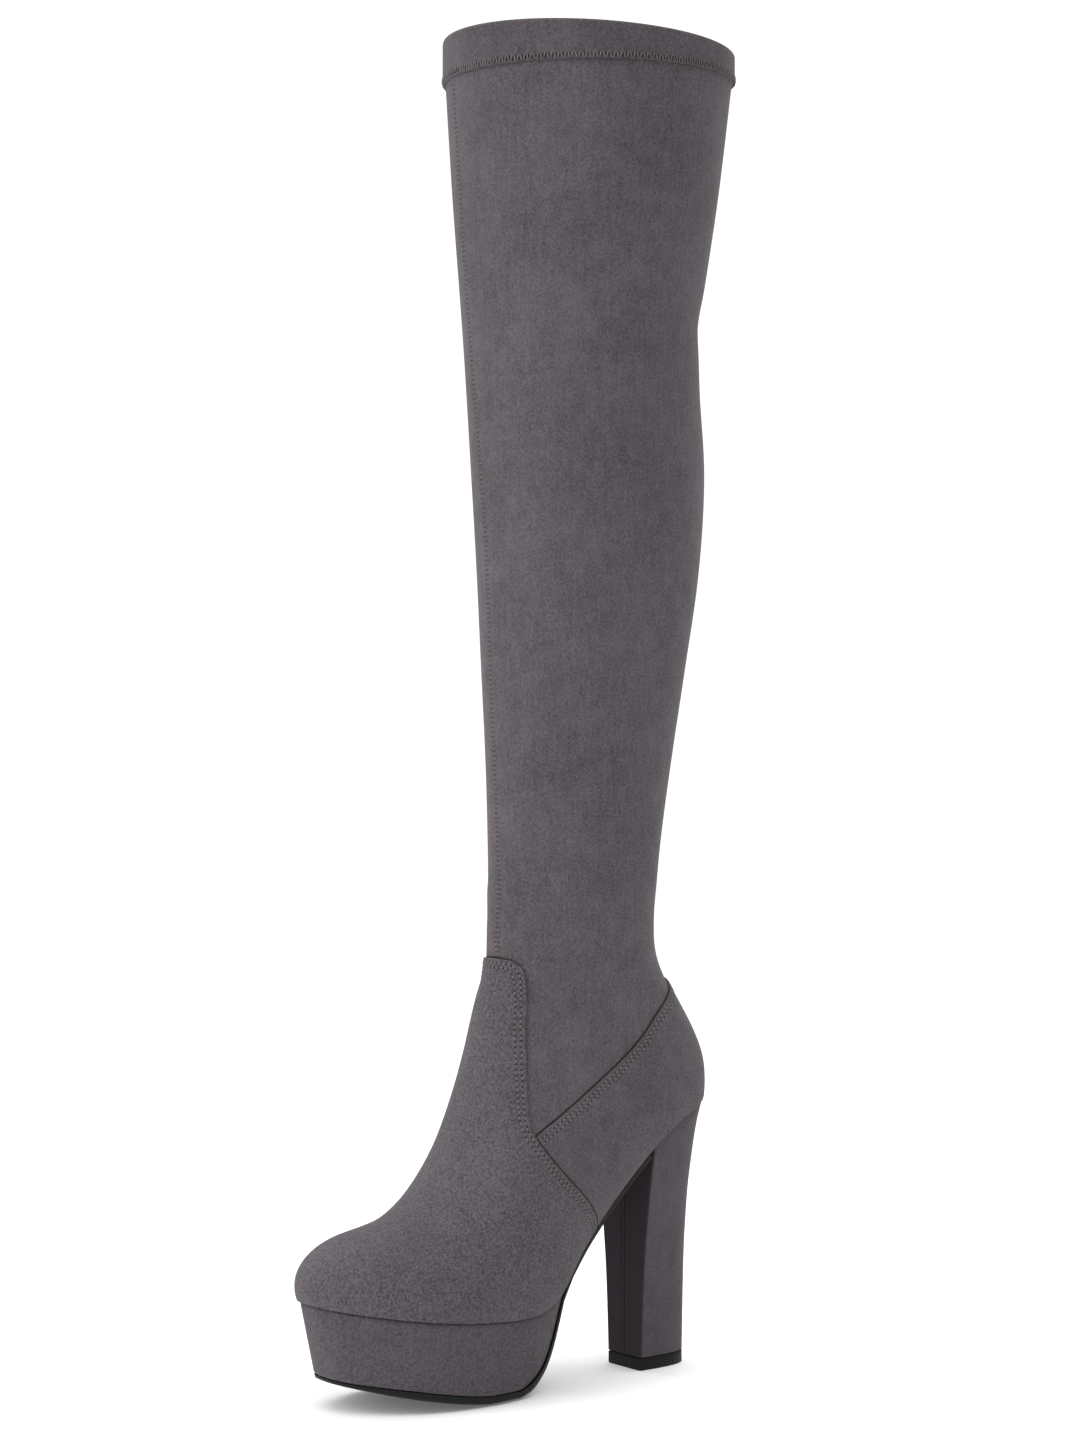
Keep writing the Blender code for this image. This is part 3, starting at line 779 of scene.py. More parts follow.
def under_foot():
    """The cutter below the lasting line."""
    s = sizes()
    start, end = -s.toe_length - MARGIN, s.rear_length + MARGIN
    count = 160
    ys = [start + (end - start) * k / count for k in range(count + 1)]
    line = [(y, lasting_height(y)) for y in ys]
    return prism("below_lasting", line + [(end, -MARGIN), (start, -MARGIN)])


def ahead_of(line):
    """The cutter in front of a vamp line."""
    front = -sizes().toe_length - MARGIN
    return prism("ahead", line + [(line[-1][0], 0.0), (front, 0.0), (front, line[0][1])])


# Shader maths


def plug(tree, value, socket):
    """Links a value to a socket, or sets the socket to it where it is no link."""
    if isinstance(value, Value):
        tree.links.new(value.socket, socket)
    else:
        socket.default_value = value


class Value:
    """A shader socket that Python's operators work on. Each adds a Math node."""

    def __init__(self, tree, socket):
        self.tree = tree
        self.socket = socket

    def math(self, operation, first, second):
        node = self.tree.nodes.new("ShaderNodeMath")
        node.operation = operation
        for socket, value in zip(node.inputs, (first, second)):
            plug(self.tree, value, socket)
        return Value(self.tree, node.outputs[0])

    def __add__(self, other):
        return self.math("ADD", self, other)

    def __radd__(self, other):
        return self.math("ADD", other, self)

    def __sub__(self, other):
        return self.math("SUBTRACT", self, other)

    def __rsub__(self, other):
        return self.math("SUBTRACT", other, self)

    def __mul__(self, other):
        return self.math("MULTIPLY", self, other)

    def __rmul__(self, other):
        return self.math("MULTIPLY", other, self)


class Finish:
    """A material and its nodes."""

    def __init__(self, name):
        self.material = bpy.data.materials.new(name)
        self.material.use_nodes = True
        self.tree = self.material.node_tree
        self.shader = self.tree.nodes["Principled BSDF"]

    def node(self, kind, settings=None, inputs=None, output=0):
        """Adds a node, sets it, gives its sockets values or links, and returns one of its outputs."""
        node = self.tree.nodes.new(kind)
        for key, value in (settings or {}).items():
            setattr(node, key, value)
        for key, value in (inputs or {}).items():
            plug(self.tree, value, node.inputs[key])
        return Value(self.tree, node.outputs[output])

    def place(self, stretch=(1, 1, 1)):
        spot = self.node("ShaderNodeTexCoord", output="Object")
        if stretch == (1, 1, 1):
            return spot
        return self.node("ShaderNodeMapping", inputs={"Vector": spot, "Scale": stretch})

    def noise(self, size, detail=2.0, rough=0.5, stretch=(1, 1, 1)):
        """Noise with blobs of about that size in metres, from -1 to 1 around 0."""
        settings = {"Vector": self.place(stretch), "Scale": 1 / size, "Detail": detail, "Roughness": rough}
        return (self.node("ShaderNodeTexNoise", inputs=settings) - 0.5) * 2.0

    def step(self, value, low, high):
        """0 below low, 1 above high and smooth between."""
        inputs = {"Value": value, "From Min": low, "From Max": high}
        return self.node("ShaderNodeMapRange", {"interpolation_type": "SMOOTHSTEP"}, inputs)

    def blend(self, factor, first, second):
        """A colour between two, each of them given or a link."""
        node = self.tree.nodes.new("ShaderNodeMix")
        node.data_type = "RGBA"
        plug(self.tree, factor, node.inputs[0])
        for value, socket in ((first, node.inputs[6]), (second, node.inputs[7])):
            plug(self.tree, value if isinstance(value, Value) else (*value, 1.0), socket)
        return Value(self.tree, node.outputs[2])

    def feed(self, **inputs):
        """Sets or links inputs of the shader. Words joined by _ stand for the socket's name."""
        for key, value in inputs.items():
            plug(self.tree, value, self.shader.inputs[key.replace("_", " ")])

    def bump(self, height, distance):
        inputs = {"Height": height, "Distance": distance, "Strength": 1.0}
        return self.node("ShaderNodeBump", inputs=inputs)


def tinted(base, share):
    return tuple(min(c * share, 1.0) for c in base)


def microsuede(name, base, grain, mottle, relief, streak=0.0, blotch=0.20, breast=False):
    """Napped microsuede: soft patches where the nap lies otherwise, blotches, pebbled grain and fibres.
    With breast, the heel's breast gets painted shade.
    """
    finish = Finish(name)
    patches = finish.noise(0.045, 2.0, 0.55)
    blotches = finish.noise(0.0085, 3.0, 0.6)
    pebble = finish.noise(grain, 2.0, 0.6)
    fibre = finish.noise(grain * 0.45, 1.0, 0.5)
    shade_of_nap = patches * 0.20 + blotches * blotch + pebble * mottle + fibre * (mottle * 0.45)
    if streak:
        shade_of_nap = shade_of_nap + finish.noise(0.0016, 2.0, 0.6, (1, 1, 0.08)) * streak
    level = finish.step(shade_of_nap + 0.5, 0.0, 1.0)
    nap = finish.blend(level, tinted(base, 0.52), tinted(base, 1.50))
    # Painted shade: the heel's breast face is coloured much darker for the shade under the platform and
    # arch, together with darker nap.
    if breast:
        spot = finish.node("ShaderNodeSeparateXYZ", inputs={"Vector": finish.place()}, output="Y")
        front = sizes().heel_breast
        dark = base[0] * 0.42, base[1] * 0.34, base[2] * 0.38
        nap = finish.blend(finish.step(spot, front + 0.0004, front + 0.0016), dark, nap)
    height = pebble * 0.7 + fibre * 0.25 + blotches * 0.5
    finish.feed(
        Base_Color=nap,
        Roughness=0.94,
        Specular_IOR_Level=0.12,
        Sheen_Weight=0.13,
        Sheen_Roughness=0.45,
        Sheen_Tint=(0.88, 0.84, 0.88, 1.0),
        Normal=finish.bump(height, relief),
    )
    return finish.material


def lining_cloth(name, base):
    finish = Finish(name)
    weave = finish.noise(0.0007, 1.0, 0.5)
    nap = finish.blend(finish.step(weave * 0.5 + 0.5, 0.2, 0.8), tinted(base, 0.8), tinted(base, 1.2))
    finish.feed(
        Base_Color=nap, Roughness=0.85, Specular_IOR_Level=0.2, Sheen_Weight=0.1,
        Normal=finish.bump(weave, 0.0001),
    )
    return finish.material


def thread(name, base):
    finish = Finish(name)
    twist = finish.noise(0.0005, 1.0, 0.5)
    look = finish.blend(finish.step(twist * 0.5 + 0.5, 0.2, 0.8), tinted(base, 0.72), tinted(base, 1.25))
    finish.feed(Base_Color=look, Roughness=0.62, Specular_IOR_Level=0.3)
    return finish.material


def rubber(name, base):
    finish = Finish(name)
    dust = finish.noise(0.004, 3.0, 0.6)
    fine = finish.noise(0.0006, 2.0, 0.5)
    level = finish.step(dust * 0.35 + fine * 0.2 + 0.5, 0.2, 0.8)
    look = finish.blend(level, tinted(base, 0.8), tinted(base, 1.6))
    finish.feed(
        Base_Color=look,
        Roughness=finish.step(dust * 0.5 + 0.5, 0.0, 1.0) * 0.16 + 0.44,
        Specular_IOR_Level=0.14,
        Normal=finish.bump(fine, 0.00006),
    )
    return finish.material


def finished(name):
    """The material of that name, made the first time that it is asked for."""
    if name in bpy.data.materials:
        return bpy.data.materials[name]
    c = cloth()
    makers = {
        "shaft_nap": lambda: microsuede(name, c.suede, 0.0010, 0.60, 0.00016, 0.16),
        "hem_nap": lambda: microsuede(name, tinted(c.suede, 0.88), 0.0010, 0.60, 0.00022),
        "vamp_nap": lambda: microsuede(name, c.panel, 0.0011, 0.90, 0.00046, blotch=0.12),
        "counter_nap": lambda: microsuede(name, c.panel, 0.0010, 0.60, 0.00026),
        "platform_nap": lambda: microsuede(name, c.cover, 0.0011, 0.70, 0.00030, blotch=0.14),
        # The heel's breast is coloured darker with painted shade.
        "heel_nap": lambda: microsuede(name, c.cover, 0.0010, 0.35, 0.00012, breast=True),
        "shaft_lining": lambda: lining_cloth(name, c.lining),
        "sock_lining": lambda: lining_cloth(name, c.lining),
        "thread": lambda: thread(name, c.yarn),
        # Painted shade, for the needle holes, the hem's stitch gaps, the heel's seam and the panels' edges.
        "needle_shadow": lambda: thread(name, c.hole),
        "black_rubber": lambda: rubber(name, c.rubber),
    }
    return makers[name]()


# Stitches


def sew(name, places, size):
    """Copies one thread, length, width and thickness in size, to each place.

    A place is the thread's middle, its direction and the cloth's normal.
    """
    long, wide, thick = size
    deselect()
    bpy.ops.mesh.primitive_uv_sphere_add(segments=6, ring_count=4, radius=0.5)
    model = name_new(name + "_model")
    bpy.ops.object.mode_set(mode="EDIT")
    bpy.ops.transform.resize(value=(wide, thick, long))
    bpy.ops.object.mode_set(mode="OBJECT")
    copies = []
    for middle, along, normal in places:
        side = normal.cross(along).normalized()
        out = along.cross(side).normalized()
        copy = model.copy()
        copy.data = model.data.copy()
        bpy.context.scene.collection.objects.link(copy)
        turn = Matrix((side, out, along.normalized())).transposed().to_4x4()
        copy.matrix_world = Matrix.Translation(middle) @ turn
        copies.append(copy)
    discard(model)
    deselect()
    for copy in copies:
        copy.select_set(True)
    bpy.context.view_layer.objects.active = copies[0]
    bpy.ops.object.join()
    row = name_new(name)
    bpy.ops.object.transform_apply(location=True, rotation=True, scale=True)
    bpy.ops.object.shade_smooth()
    return row


def side_path(trees, line):
    """Points and normals where a side view line lies on surfaces, from side to side over its start."""
    fine = []
    for (y0, z0), (y1, z1) in zip(line, line[1:]):
        count = max(int(math.hypot(y1 - y0, z1 - z0) / 0.00015), 1)
        fine += [(y0 + (y1 - y0) * k / count, z0 + (z1 - z0) * k / count) for k in range(count)]
    paths = []
    for side in (1, -1):
        path = []
        for y, z in fine:
            hits = [tree.ray_cast(Vector((side * FAR, y, z)), Vector((-side, 0, 0)))[:2] for tree in trees]
            hits = [hit for hit in hits if hit[0] is not None and hit[0].x * side > 0]
            if hits:
                path.append(max(hits, key=lambda hit: hit[0].x * side))
        paths.append(path)
    return paths[0][::-1] + paths[1]


def along_path(path, shares):
    """Places at the given shares of the way along a path of (point, normal)."""
    places = []
    for i, part in spots([point for point, _ in path], shares):
        normal = path[i][1].lerp(path[i + 1][1], part).normalized()
        middle = path[i][0].lerp(path[i + 1][0], part)
        ahead, behind = path[min(i + 3, len(path) - 1)][0], path[max(i - 2, 0)][0]
        places.append((middle, (ahead - behind).normalized(), normal))
    return places


def path_length(path):
    return distances([point for point, _ in path])[-1]


def stitch_places(path, pitch, lift, lean=0.0, shift=0.5):
    """Places a pitch apart along a path, standing proud by lift. With a lean they cross it, leaning."""
    count = max(int(path_length(path) / pitch), 1)
    places = []
    shares = [(k + shift) / count for k in range(count)]
    for k, (middle, along, normal) in enumerate(along_path(path, shares)):
        if lean:
            along = normal.cross(along).normalized() + along * lean * (1 if k % 2 else -1)
        places.append((middle + normal * lift, along.normalized(), normal))
    return places


def edge_line(name, path, radius):
    """A fine line of painted shade along a panel's edge, where its cut edge meets what lies under it; the
    heel's seam has one too.
    """
    count = int(path_length(path) / 0.0012)
    rings = []
    for middle, along, normal in along_path(path, [k / count for k in range(count + 1)]):
        side = normal.cross(along).normalized()
        turns = [math.pi * k / 3 for k in range(6)]
        rings.append([middle + (side * math.cos(a) + normal * math.sin(a)) * radius for a in turns])
    line = closed(name, rings)
    shade(line, 70)
    return line


# Sole


def feather_loop(tree):
    """The form's outline at the lasting line as (x, y), from the inner side's back around the toe."""
    s = sizes()

    def edges(y):
        hits = [
            tree.ray_cast(Vector((side * FAR, y, lasting_height(y))), Vector((-side, 0, 0)))[0]
            for side in (-1, 1)
        ]
        return (hits[0].x, hits[1].x) if all(hits) and hits[1].x > hits[0].x else None

    def end(side):
        step = 0.0002
        reach = (s.toe_length if side < 0 else s.rear_length) + MARGIN
        return next(
            side * (reach - k * step) for k in range(int(reach / step)) if edges(side * (reach - k * step))
        )

    front, back = end(-1), end(1)
    inner, outer = [], []
    count = 110
    for k in range(count + 1):
        y = front + (back - front) * (1 - math.cos(math.pi * k / count)) / 2
        inner_x, outer_x = edges(min(max(y, front), back))
        inner.append((inner_x, y))
        outer.append((outer_x, y))
    tip = (inner[0][0] + outer[0][0]) / 2, front - 0.00015
    loop = inner[::-1] + [tip] + outer
    for _ in range(8):
        middles = [((a[0] + b[0]) / 2, (a[1] + b[1]) / 2) for a, b in zip(loop, loop[2:])]
        eased = [((a[0] + b[0]) / 2, (a[1] + b[1]) / 2) for a, b in zip(loop[1:], middles)]
        loop = [loop[0], *eased, loop[-1]]
    return loop


def lasting_outline():
    """The feather loop of the foot's form."""
    foot = foot_form("foot_form")
    loop = feather_loop(tree_of(foot))
    discard(foot)
    return loop


def inset_loop(loop, inset):
    """The loop moved inwards, to its left."""
    return beside(loop, -inset)


def toe_of(loop):
    """Where a loop's blunt front is, a hair behind its point."""
    return min(y for _, y in loop) + 0.000001


def flare(y):
    """How far the outsole's edge stands out, from nothing under the ball to all of it up the back."""
    share = min(max((y - 0.002) / 0.014, 0.0), 1.0)
    return sizes().sole_flare * share**2 * (3 - 2 * share)


def edges_at(loop, y):
    """Inner and outer x of a loop at y, which lies on either side of its point at the toe."""
    tip = min(range(len(loop)), key=lambda k: loop[k][1])
    found = []
    for half in (loop[:tip + 1][::-1], loop[tip:]):
        inside = min(max(y, half[0][1]), half[-1][1])
        (x0, y0), (x1, y1) = next((a, b) for a, b in zip(half, half[1:]) if a[1] <= inside <= b[1])
        found.append(x0 + (x1 - x0) * (inside - y0) / max(y1 - y0, 1e-9))
    return found


def draft_inset(y, z):
    """How far the sole's side has come in from the lasting line at a height."""
    return sizes().platform_inset + SOLE_DRAFT * max(lasting_height(y) - z, 0.0)


def tread_path(feather):
    """Side view of the outsole's underside and its thickness, from the toe to the heel's breast."""
    s = sizes()
    drop = lasting_height(-s.toe_length) - TREAD_ROWS[0][1] * s.platform_height
    toe = toe_of(inset_loop(feather, s.platform_inset + SOLE_DRAFT * drop))
    flat = next(along for along, height, _ in TREAD_ROWS if height == 0) * s.toe_length
    end = TREAD_ROWS[-1][0] * s.rear_length
    front, rear = 26, 44
    ys = [toe + (flat - toe) * (k / front) ** 2 for k in range(front)]
    ys += [flat + (end - flat) * k / rear for k in range(rear + 1)]
    path = []
    for y in ys:
        share = y / (s.toe_length if y < 0 else s.rear_length)
        thickness = value_at(TREAD_ROWS, share, 2) * s.outsole_thickness
        path.append((y, value_at(TREAD_ROWS, share) * s.platform_height, thickness))
    waist = s.waist_thickness
    start, stop = WAIST_START * s.rear_length, s.heel_breast - s.gap - waist
    count = 18
    for k in range(count + 1):
        y = start + (stop - start) * k / count
        slope = lasting_slope(y)
        size = math.hypot(slope, 1)
        depth = s.gap + waist
        path.append((y + slope / size * depth, lasting_height(y) - depth / size, waist))
    return path, front + rear + 1


def above_path(path, share, extra=0.0):
    """Side view of the points over the path by a share of its thickness and extra, square to it."""
    raised = []
    for (y, z, thickness), right in zip(path, rights(path)):
        out = thickness * share + extra
        raised.append((y - right[0] * out, z - right[1] * out))
    return raised


def sole_rings(feather, levels, columns=6):
    """Rings across the sole, one for each station, through the levels up its sides and back over its top.

    A level is a list of (y, z, inset) for the stations. The first is the underside and the last the top.
    """
    sides = []
    for level in levels:
        line = []
        front, _, front_inset = level[0]
        back = level[-1][0]
        toe = toe_of(inset_loop(feather, front_inset))
        scale = (back - toe) / (back - front)
        for y, z, inset in level:
            fitted = back - (back - y) * scale
            line.append((edges_at(inset_loop(feather, inset), fitted), fitted, z))
        sides.append(line)
    rings = []
    for k in range(len(levels[0])):
        ring = []
        (inner, outer), y, z = sides[0][k]
        ring += [Vector((inner + (outer - inner) * c / columns, y, z)) for c in range(columns)]
        ring += [Vector((side[k][0][1], side[k][1], side[k][2])) for side in sides[:-1]]
        (inner, outer), y, z = sides[-1][k]
        ring += [Vector((outer + (inner - outer) * c / columns, y, z)) for c in range(columns)]
        ring += [Vector((side[k][0][0], side[k][1], side[k][2])) for side in reversed(sides[1:])]
        rings.append(ring)
    return rings


def heel_half(share):
    """Half width of the heel's foot at a share of the way from its breast to its back."""
    square = 2.6
    return sizes().heel_foot_width / 2 * max(1 - share**square, 0.0) ** (1 / square)


def heel_side_shares():
    count = 22
    return [math.sin(math.pi / 2 * k / count) for k in range(count + 1)]


# Operators


class BOOT_OT_upper(bpy.types.Operator):
    """Shaft and foot covering, its lining and the line of the sole"""

    bl_idname = "boot.upper"
    bl_label = "Upper"

    def execute(self, context):
        c = cloth()
        shaft = loft("shaft_cloth", *form_rings(len(FOOT_ROWS) + len(LEG_ROWS) - 1))
        smooth(shaft)
        lining = shaft.copy()
        lining.data = shaft.data.copy()
        context.scene.collection.objects.link(lining)
        lining.name = lining.data.name = "shaft_lining"
        wall(shaft, 0.0, -c.wall * 0.5)
        wall(lining, -c.wall * 0.5 - 0.00005, -c.wall * 0.5)
        below = under_foot()
        cut(shaft, below)
        cut(lining, below)
        discard(below)
        settle(shaft, "shaft_nap", "suede", "upper", degrees=40)
        settle(lining, "shaft_lining", "sock", degrees=40)
        return {"FINISHED"}


class BOOT_OT_hem(bpy.types.Operator):
    """The band that is turned over at the top of the shaft"""

    bl_idname = "boot.hem"
    bl_label = "Hem"

    def execute(self, context):
        s = sizes()
        inner = -cloth().wall - 0.0002
        fold = (s.hem_step - inner) / 2
        profile = [(0.004, 0.0003), (0.0, s.hem_step * 0.6), (0.012, s.hem_step)]
        profile += [(k / 10, s.hem_step) for k in range(1, 9)]
        drop = fold / s.hem_height
        profile += [
            (1 - drop * (1 - math.sin(a)), s.hem_step - fold * (1 - math.cos(a)))
            for a in (math.pi * k / 8 for k in range(9))
        ]
        profile += [(k / 10, inner) for k in (8, 6, 4, 2, 0)]
        rings = []
        for up, out in profile:
            ripple = HEM_RIPPLE * (1 - up) ** 2 if out > 0 else 0.0
            outs = [out + ripple * math.sin(k * 5.3) for k in range(HULL_POINTS)]
            rings.append([point for point, _ in hem_ring(up, outs)])
        hem = loft("top_hem", rings, end="JOINED")
        smooth(hem)
        settle(hem, "hem_nap", "suede", degrees=60)
        return {"FINISHED"}


class BOOT_OT_panels(bpy.types.Operator):
    """The vamp and the counter, cut from the foot's own form and laid over it"""

    bl_idname = "boot.panels"
    bl_label = "Panels"

    def panel(self, name, thickness):
        piece = foot_form(name)
        wall(piece, sizes().gap, thickness)
        return piece

    def execute(self, context):
        c, s = cloth(), sizes()
        below = under_foot()
        edge = vamp_line()
        region = ahead_of(edge)
        vamp = self.panel("vamp_panel", c.vamp)
        cut(vamp, region, "INTERSECT")
        cut(vamp, below)
        top = counter_line()
        behind = prism("behind", top + [(top[-1][0], 0.0), (top[0][0], 0.0)])
        clear = ahead_of([(y + s.gap, z) for y, z in edge])
        counter = self.panel("counter_panel", c.counter)
        cut(counter, behind, "INTERSECT")
        cut(counter, below)
        cut(counter, clear)
        discard(below, region, behind, clear)
        settle(vamp, "vamp_nap", "panel_suede", "vamp", degrees=40)
        settle(counter, "counter_nap", "panel_suede", "heel_counter", degrees=40)
        return {"FINISHED"}


class BOOT_OT_stitches(bpy.types.Operator):
    """Rows of stitches on the panels, the front seam and the hem, with painted shade in their needle holes
    and at the foot of the panels' edges
    """

    bl_idname = "boot.stitches"
    bl_label = "Stitches"

    def execute(self, context):
        c = cloth()
        panels = {"vamp": (vamp_line(), 1), "counter": (counter_line(), -1)}
        trees = {
            name: tree_of(bpy.data.objects[name])
            for name in ("shaft_cloth", "vamp_panel", "counter_panel")
        }
        under = {
            "vamp": [trees["shaft_cloth"], trees["counter_panel"]],
            "counter": [trees["shaft_cloth"]],
        }
        for name, (line, way) in panels.items():
            threads, holes = [], []
            for distance in (c.first_row, c.second_row):
                path = side_path([trees[name + "_panel"]], beside(line, distance)[::way])
                threads += stitch_places(path, c.pitch, c.thread * 0.12)
                holes += stitch_places(path, c.pitch, 0.0, shift=0.0)
            size = c.stitch, c.thread, c.thread * 0.8
            self.finish_row(name + "_stitches", threads, holes, size, c.needle_hole)
            # Painted shade at the foot of the panel's edge: a dark line laid on what lies under it, just
            # outside the edge.
            path = side_path(under[name], beside(line, -c.edge_offset)[::way])
            edge_shade = edge_line(name + "_edge", path, c.edge_line)
            settle(edge_shade, "needle_shadow", "panel_suede")
        self.front_seam(trees["shaft_cloth"])
        self.cover_stitch()
        return {"FINISHED"}

    def finish_row(self, name, threads, holes, size, hole):
        settle(sew(name, threads, size), "thread", "suede")
        # The needle holes are dots of painted shade, flat and dark, flush with the cloth between the
        # stitches.
        dots = sew(name + "_holes", holes, (hole, hole * 0.85, 0.0003))
        settle(dots, "needle_shadow", "suede")

    def front_seam(self, tree):
        """Two fine rows of stitches up the front of the shaft."""
        c, s = cloth(), sizes()
        half = s.thigh_width / 2
        low = place(0, 1, 0.635)[1]
        high = s.boot_height - s.hem_height - 0.0030
        threads, holes = [], []
        for side in (-1, 1):
            path = []
            count = 1200
            for k in range(count + 1):
                z = low + (high - low) * k / count
                x = value_at(FRONT_SEAM, z / RIM_HEIGHT) * half + side * 0.0009
                hit = tree.ray_cast(Vector((x, -FAR, z)), Vector((0, 1, 0)))
                if hit[0] is not None and hit[1].y < 0:
                    path.append(hit[:2])
            threads += stitch_places(path, c.pitch * 0.85, 0.0)
            holes += stitch_places(path, c.pitch * 0.85, 0.0, shift=0.0)
        size = c.stitch * 0.8, c.thread * 0.8, c.thread * 0.6
        self.finish_row("front_stitches", threads, holes, size, 0.0011)

    def cover_stitch(self):
        """The zigzag over the hem's lower edge."""
        c, s = cloth(), sizes()
        ring = hem_ring(c.cover_stitch * 0.50 / s.hem_height, [s.hem_step + 0.00005] * HULL_POINTS)
        path = ring + ring[:1]
        threads = stitch_places(path, c.cover_pitch, 0.0, 0.30)
        holes = stitch_places(path, c.cover_pitch, -0.0001, 0.30, shift=0.0)
        size = c.cover_stitch, c.thread * 0.9, c.thread * 0.8
        settle(sew("hem_stitches", threads, size), "thread", "suede")
        # Painted shade: thin dark pieces sunk into the gaps between the hem's stitches.
        gaps = sew("hem_stitch_gaps", holes, (c.cover_stitch * 0.85, 0.0005, 0.0004))
        settle(gaps, "needle_shadow", "suede")


class BOOT_OT_bottom(bpy.types.Operator):
    """The covered platform and the rubber outsole"""

    bl_idname = "boot.bottom"
    bl_label = "Platform and outsole"

    def execute(self, context):
        feather = lasting_outline()
        path, count = tread_path(feather)
        self.platform(feather, path, count)
        self.outsole(feather, path)
        return {"FINISHED"}

    def between(self, feather, levels, name):
        """A closed piece of the sole through its levels, welded at its tip."""
        piece = closed(name, sole_rings(feather, levels))
        finish_with(piece, "WELD", merge_threshold=TIP_WELD)
        return piece

    def platform(self, feather, path, count):
        s = sizes()
        low = above_path(path, 1.0, s.gap)
        (y0, z0), (y1, z1) = low[count - 1], low[count]
        low = low[:count] + [((y0 + y1) / 2, (z0 + z1) / 2)]
        top_loop = inset_loop(feather, s.platform_inset)
        front, back = toe_of(top_loop), low[-1][0]
        scale = (back - front) / (back - low[0][0])
        high = []
        for y, _ in low:
            top_y = back - (back - y) * scale
            high.append((top_y, seat_height(top_y)))
        levels = []
        for up, tuck in PLATFORM_SIDE:
            level = []
            for (ya, za), (yb, zb) in zip(low, high):
                y, z = ya + (yb - ya) * up, za + (zb - za) * up
                under = draft_inset(ya, za)
                level.append((y, z, under + (s.platform_inset - under) * up + tuck))
            levels.append(level)
        platform = self.between(feather, levels, "platform_cover")
        settle(platform, "platform_nap", "sole_suede", "platform", degrees=50)

    def outsole(self, feather, path):
        s = sizes()
        levels = []
        for share, edge in SOLE_EDGE:
            line = above_path(path, share)
            level = []
            for (y, z), (_, _, thickness) in zip(line, path):
                roll = edge * s.tread_edge * thickness / s.outsole_thickness
                out = flare(y)
                level.append((y, z, draft_inset(y, z) + roll * (1 - 0.8 * out / s.sole_flare) - out))
            levels.append(level)
        outsole = self.between(feather, levels, "rubber_outsole")
        settle(outsole, "black_rubber", "rubber", "outsole", degrees=50)


class BOOT_OT_heel(bpy.types.Operator):
    """The covered block heel and its top lift"""

    bl_idname = "boot.heel"
    bl_label = "Heel"

    def outline(self, sides, seam):
        """A closed ring: across the breast with its seam, then the inner side, the back and the outer side.

        sides is a list of (inner x, outer x, y, z) from the breast to the back.
        """
        inner, outer, y, z = sides[0]
        middle = (inner + outer) / 2
        ring = []
        for across in BREAST_SHARES:
            x = middle + (outer - middle) * across if across > 0 else middle + (middle - inner) * across
            ring.append(Vector((x, y + (0.0 if across else seam), z)))
        ring += [Vector((a, y, z)) for a, _, y, z in sides]
        ring += [Vector((b, y, z)) for _, b, y, z in reversed(sides[:-1])]
        return ring

    def foot_sides(self, z, inset=0.0):
        s = sizes()
        sides = []
        for share in heel_side_shares():
            half = max(heel_half(share) - inset, 0.0)
            y = s.heel_breast + inset + share * (s.heel_foot_length - 2 * inset)
            sides.append((-half, half, y, z))
        return sides

    def execute(self, context):
        s = sizes()
        loop = inset_loop(lasting_outline(), s.heel_inset)
        back = max(y for _, y in loop)
        low = self.foot_sides(s.heel_tip_height + s.gap)
        high = []
        for share in heel_side_shares():
            y = s.heel_breast + share * (back - s.heel_breast)
            inner, outer = edges_at(loop, y)
            if share == 1.0:
                inner = outer = (inner + outer) / 2
            high.append((inner, outer, y, seat_height(y)))
        rings = []
        count = 26
        for k in range(count + 1):
            up = k / count
            width, reach = value_at(HEEL_ROWS, up), value_at(HEEL_ROWS, up, 2)
            sides = [
                (a[0] + (b[0] - a[0]) * width, a[1] + (b[1] - a[1]) * width,
                 a[2] + (b[2] - a[2]) * reach, a[3] + (b[3] - a[3]) * up)
                for a, b in zip(low, high)
            ]
            rings.append(self.outline(sides, SEAM_DEPTH))
        for share in (0.6, 0.2):
            inward = [(a * share, b * share, y, z) for a, b, y, z in high]
            rings.append(self.outline(inward, 0.0))
        # Painted shade down the heel's seam: a dark line along the bottom of its shallow groove.
        seam = [(ring[SEAM] - Vector((0, 0.0002, 0)), Vector((0, -1, 0))) for ring in rings[:-2]]
        heel = closed("heel_cover", rings)
        finish_with(heel, "BEVEL", width=0.0009, segments=3, limit_method="ANGLE",
                    angle_limit=math.radians(55))
        settle(heel, "heel_nap", "sole_suede", "heel", degrees=50)
        settle(edge_line("heel_seam", seam, 0.0005), "needle_shadow", "sole_suede")

        chamfer = 0.0004
        height = s.heel_tip_height
        levels = ((0.0, chamfer), (chamfer, 0.0), (height - chamfer, 0.0), (height, chamfer))
        rings = [self.outline(self.foot_sides(z, inset), 0.0) for z, inset in levels]
        settle(closed("top_lift", rings), "black_rubber", "rubber", "heel_tip", degrees=50)
        return {"FINISHED"}


class BOOT_OT_insole(bpy.types.Operator):
    """Lining cloth on the insole"""

    bl_idname = "boot.insole"
    bl_label = "Insole"

    def execute(self, context):
        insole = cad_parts["insole"]
        for slot in insole.material_slots:
            slot.material = finished("sock_lining")
        return {"FINISHED"}


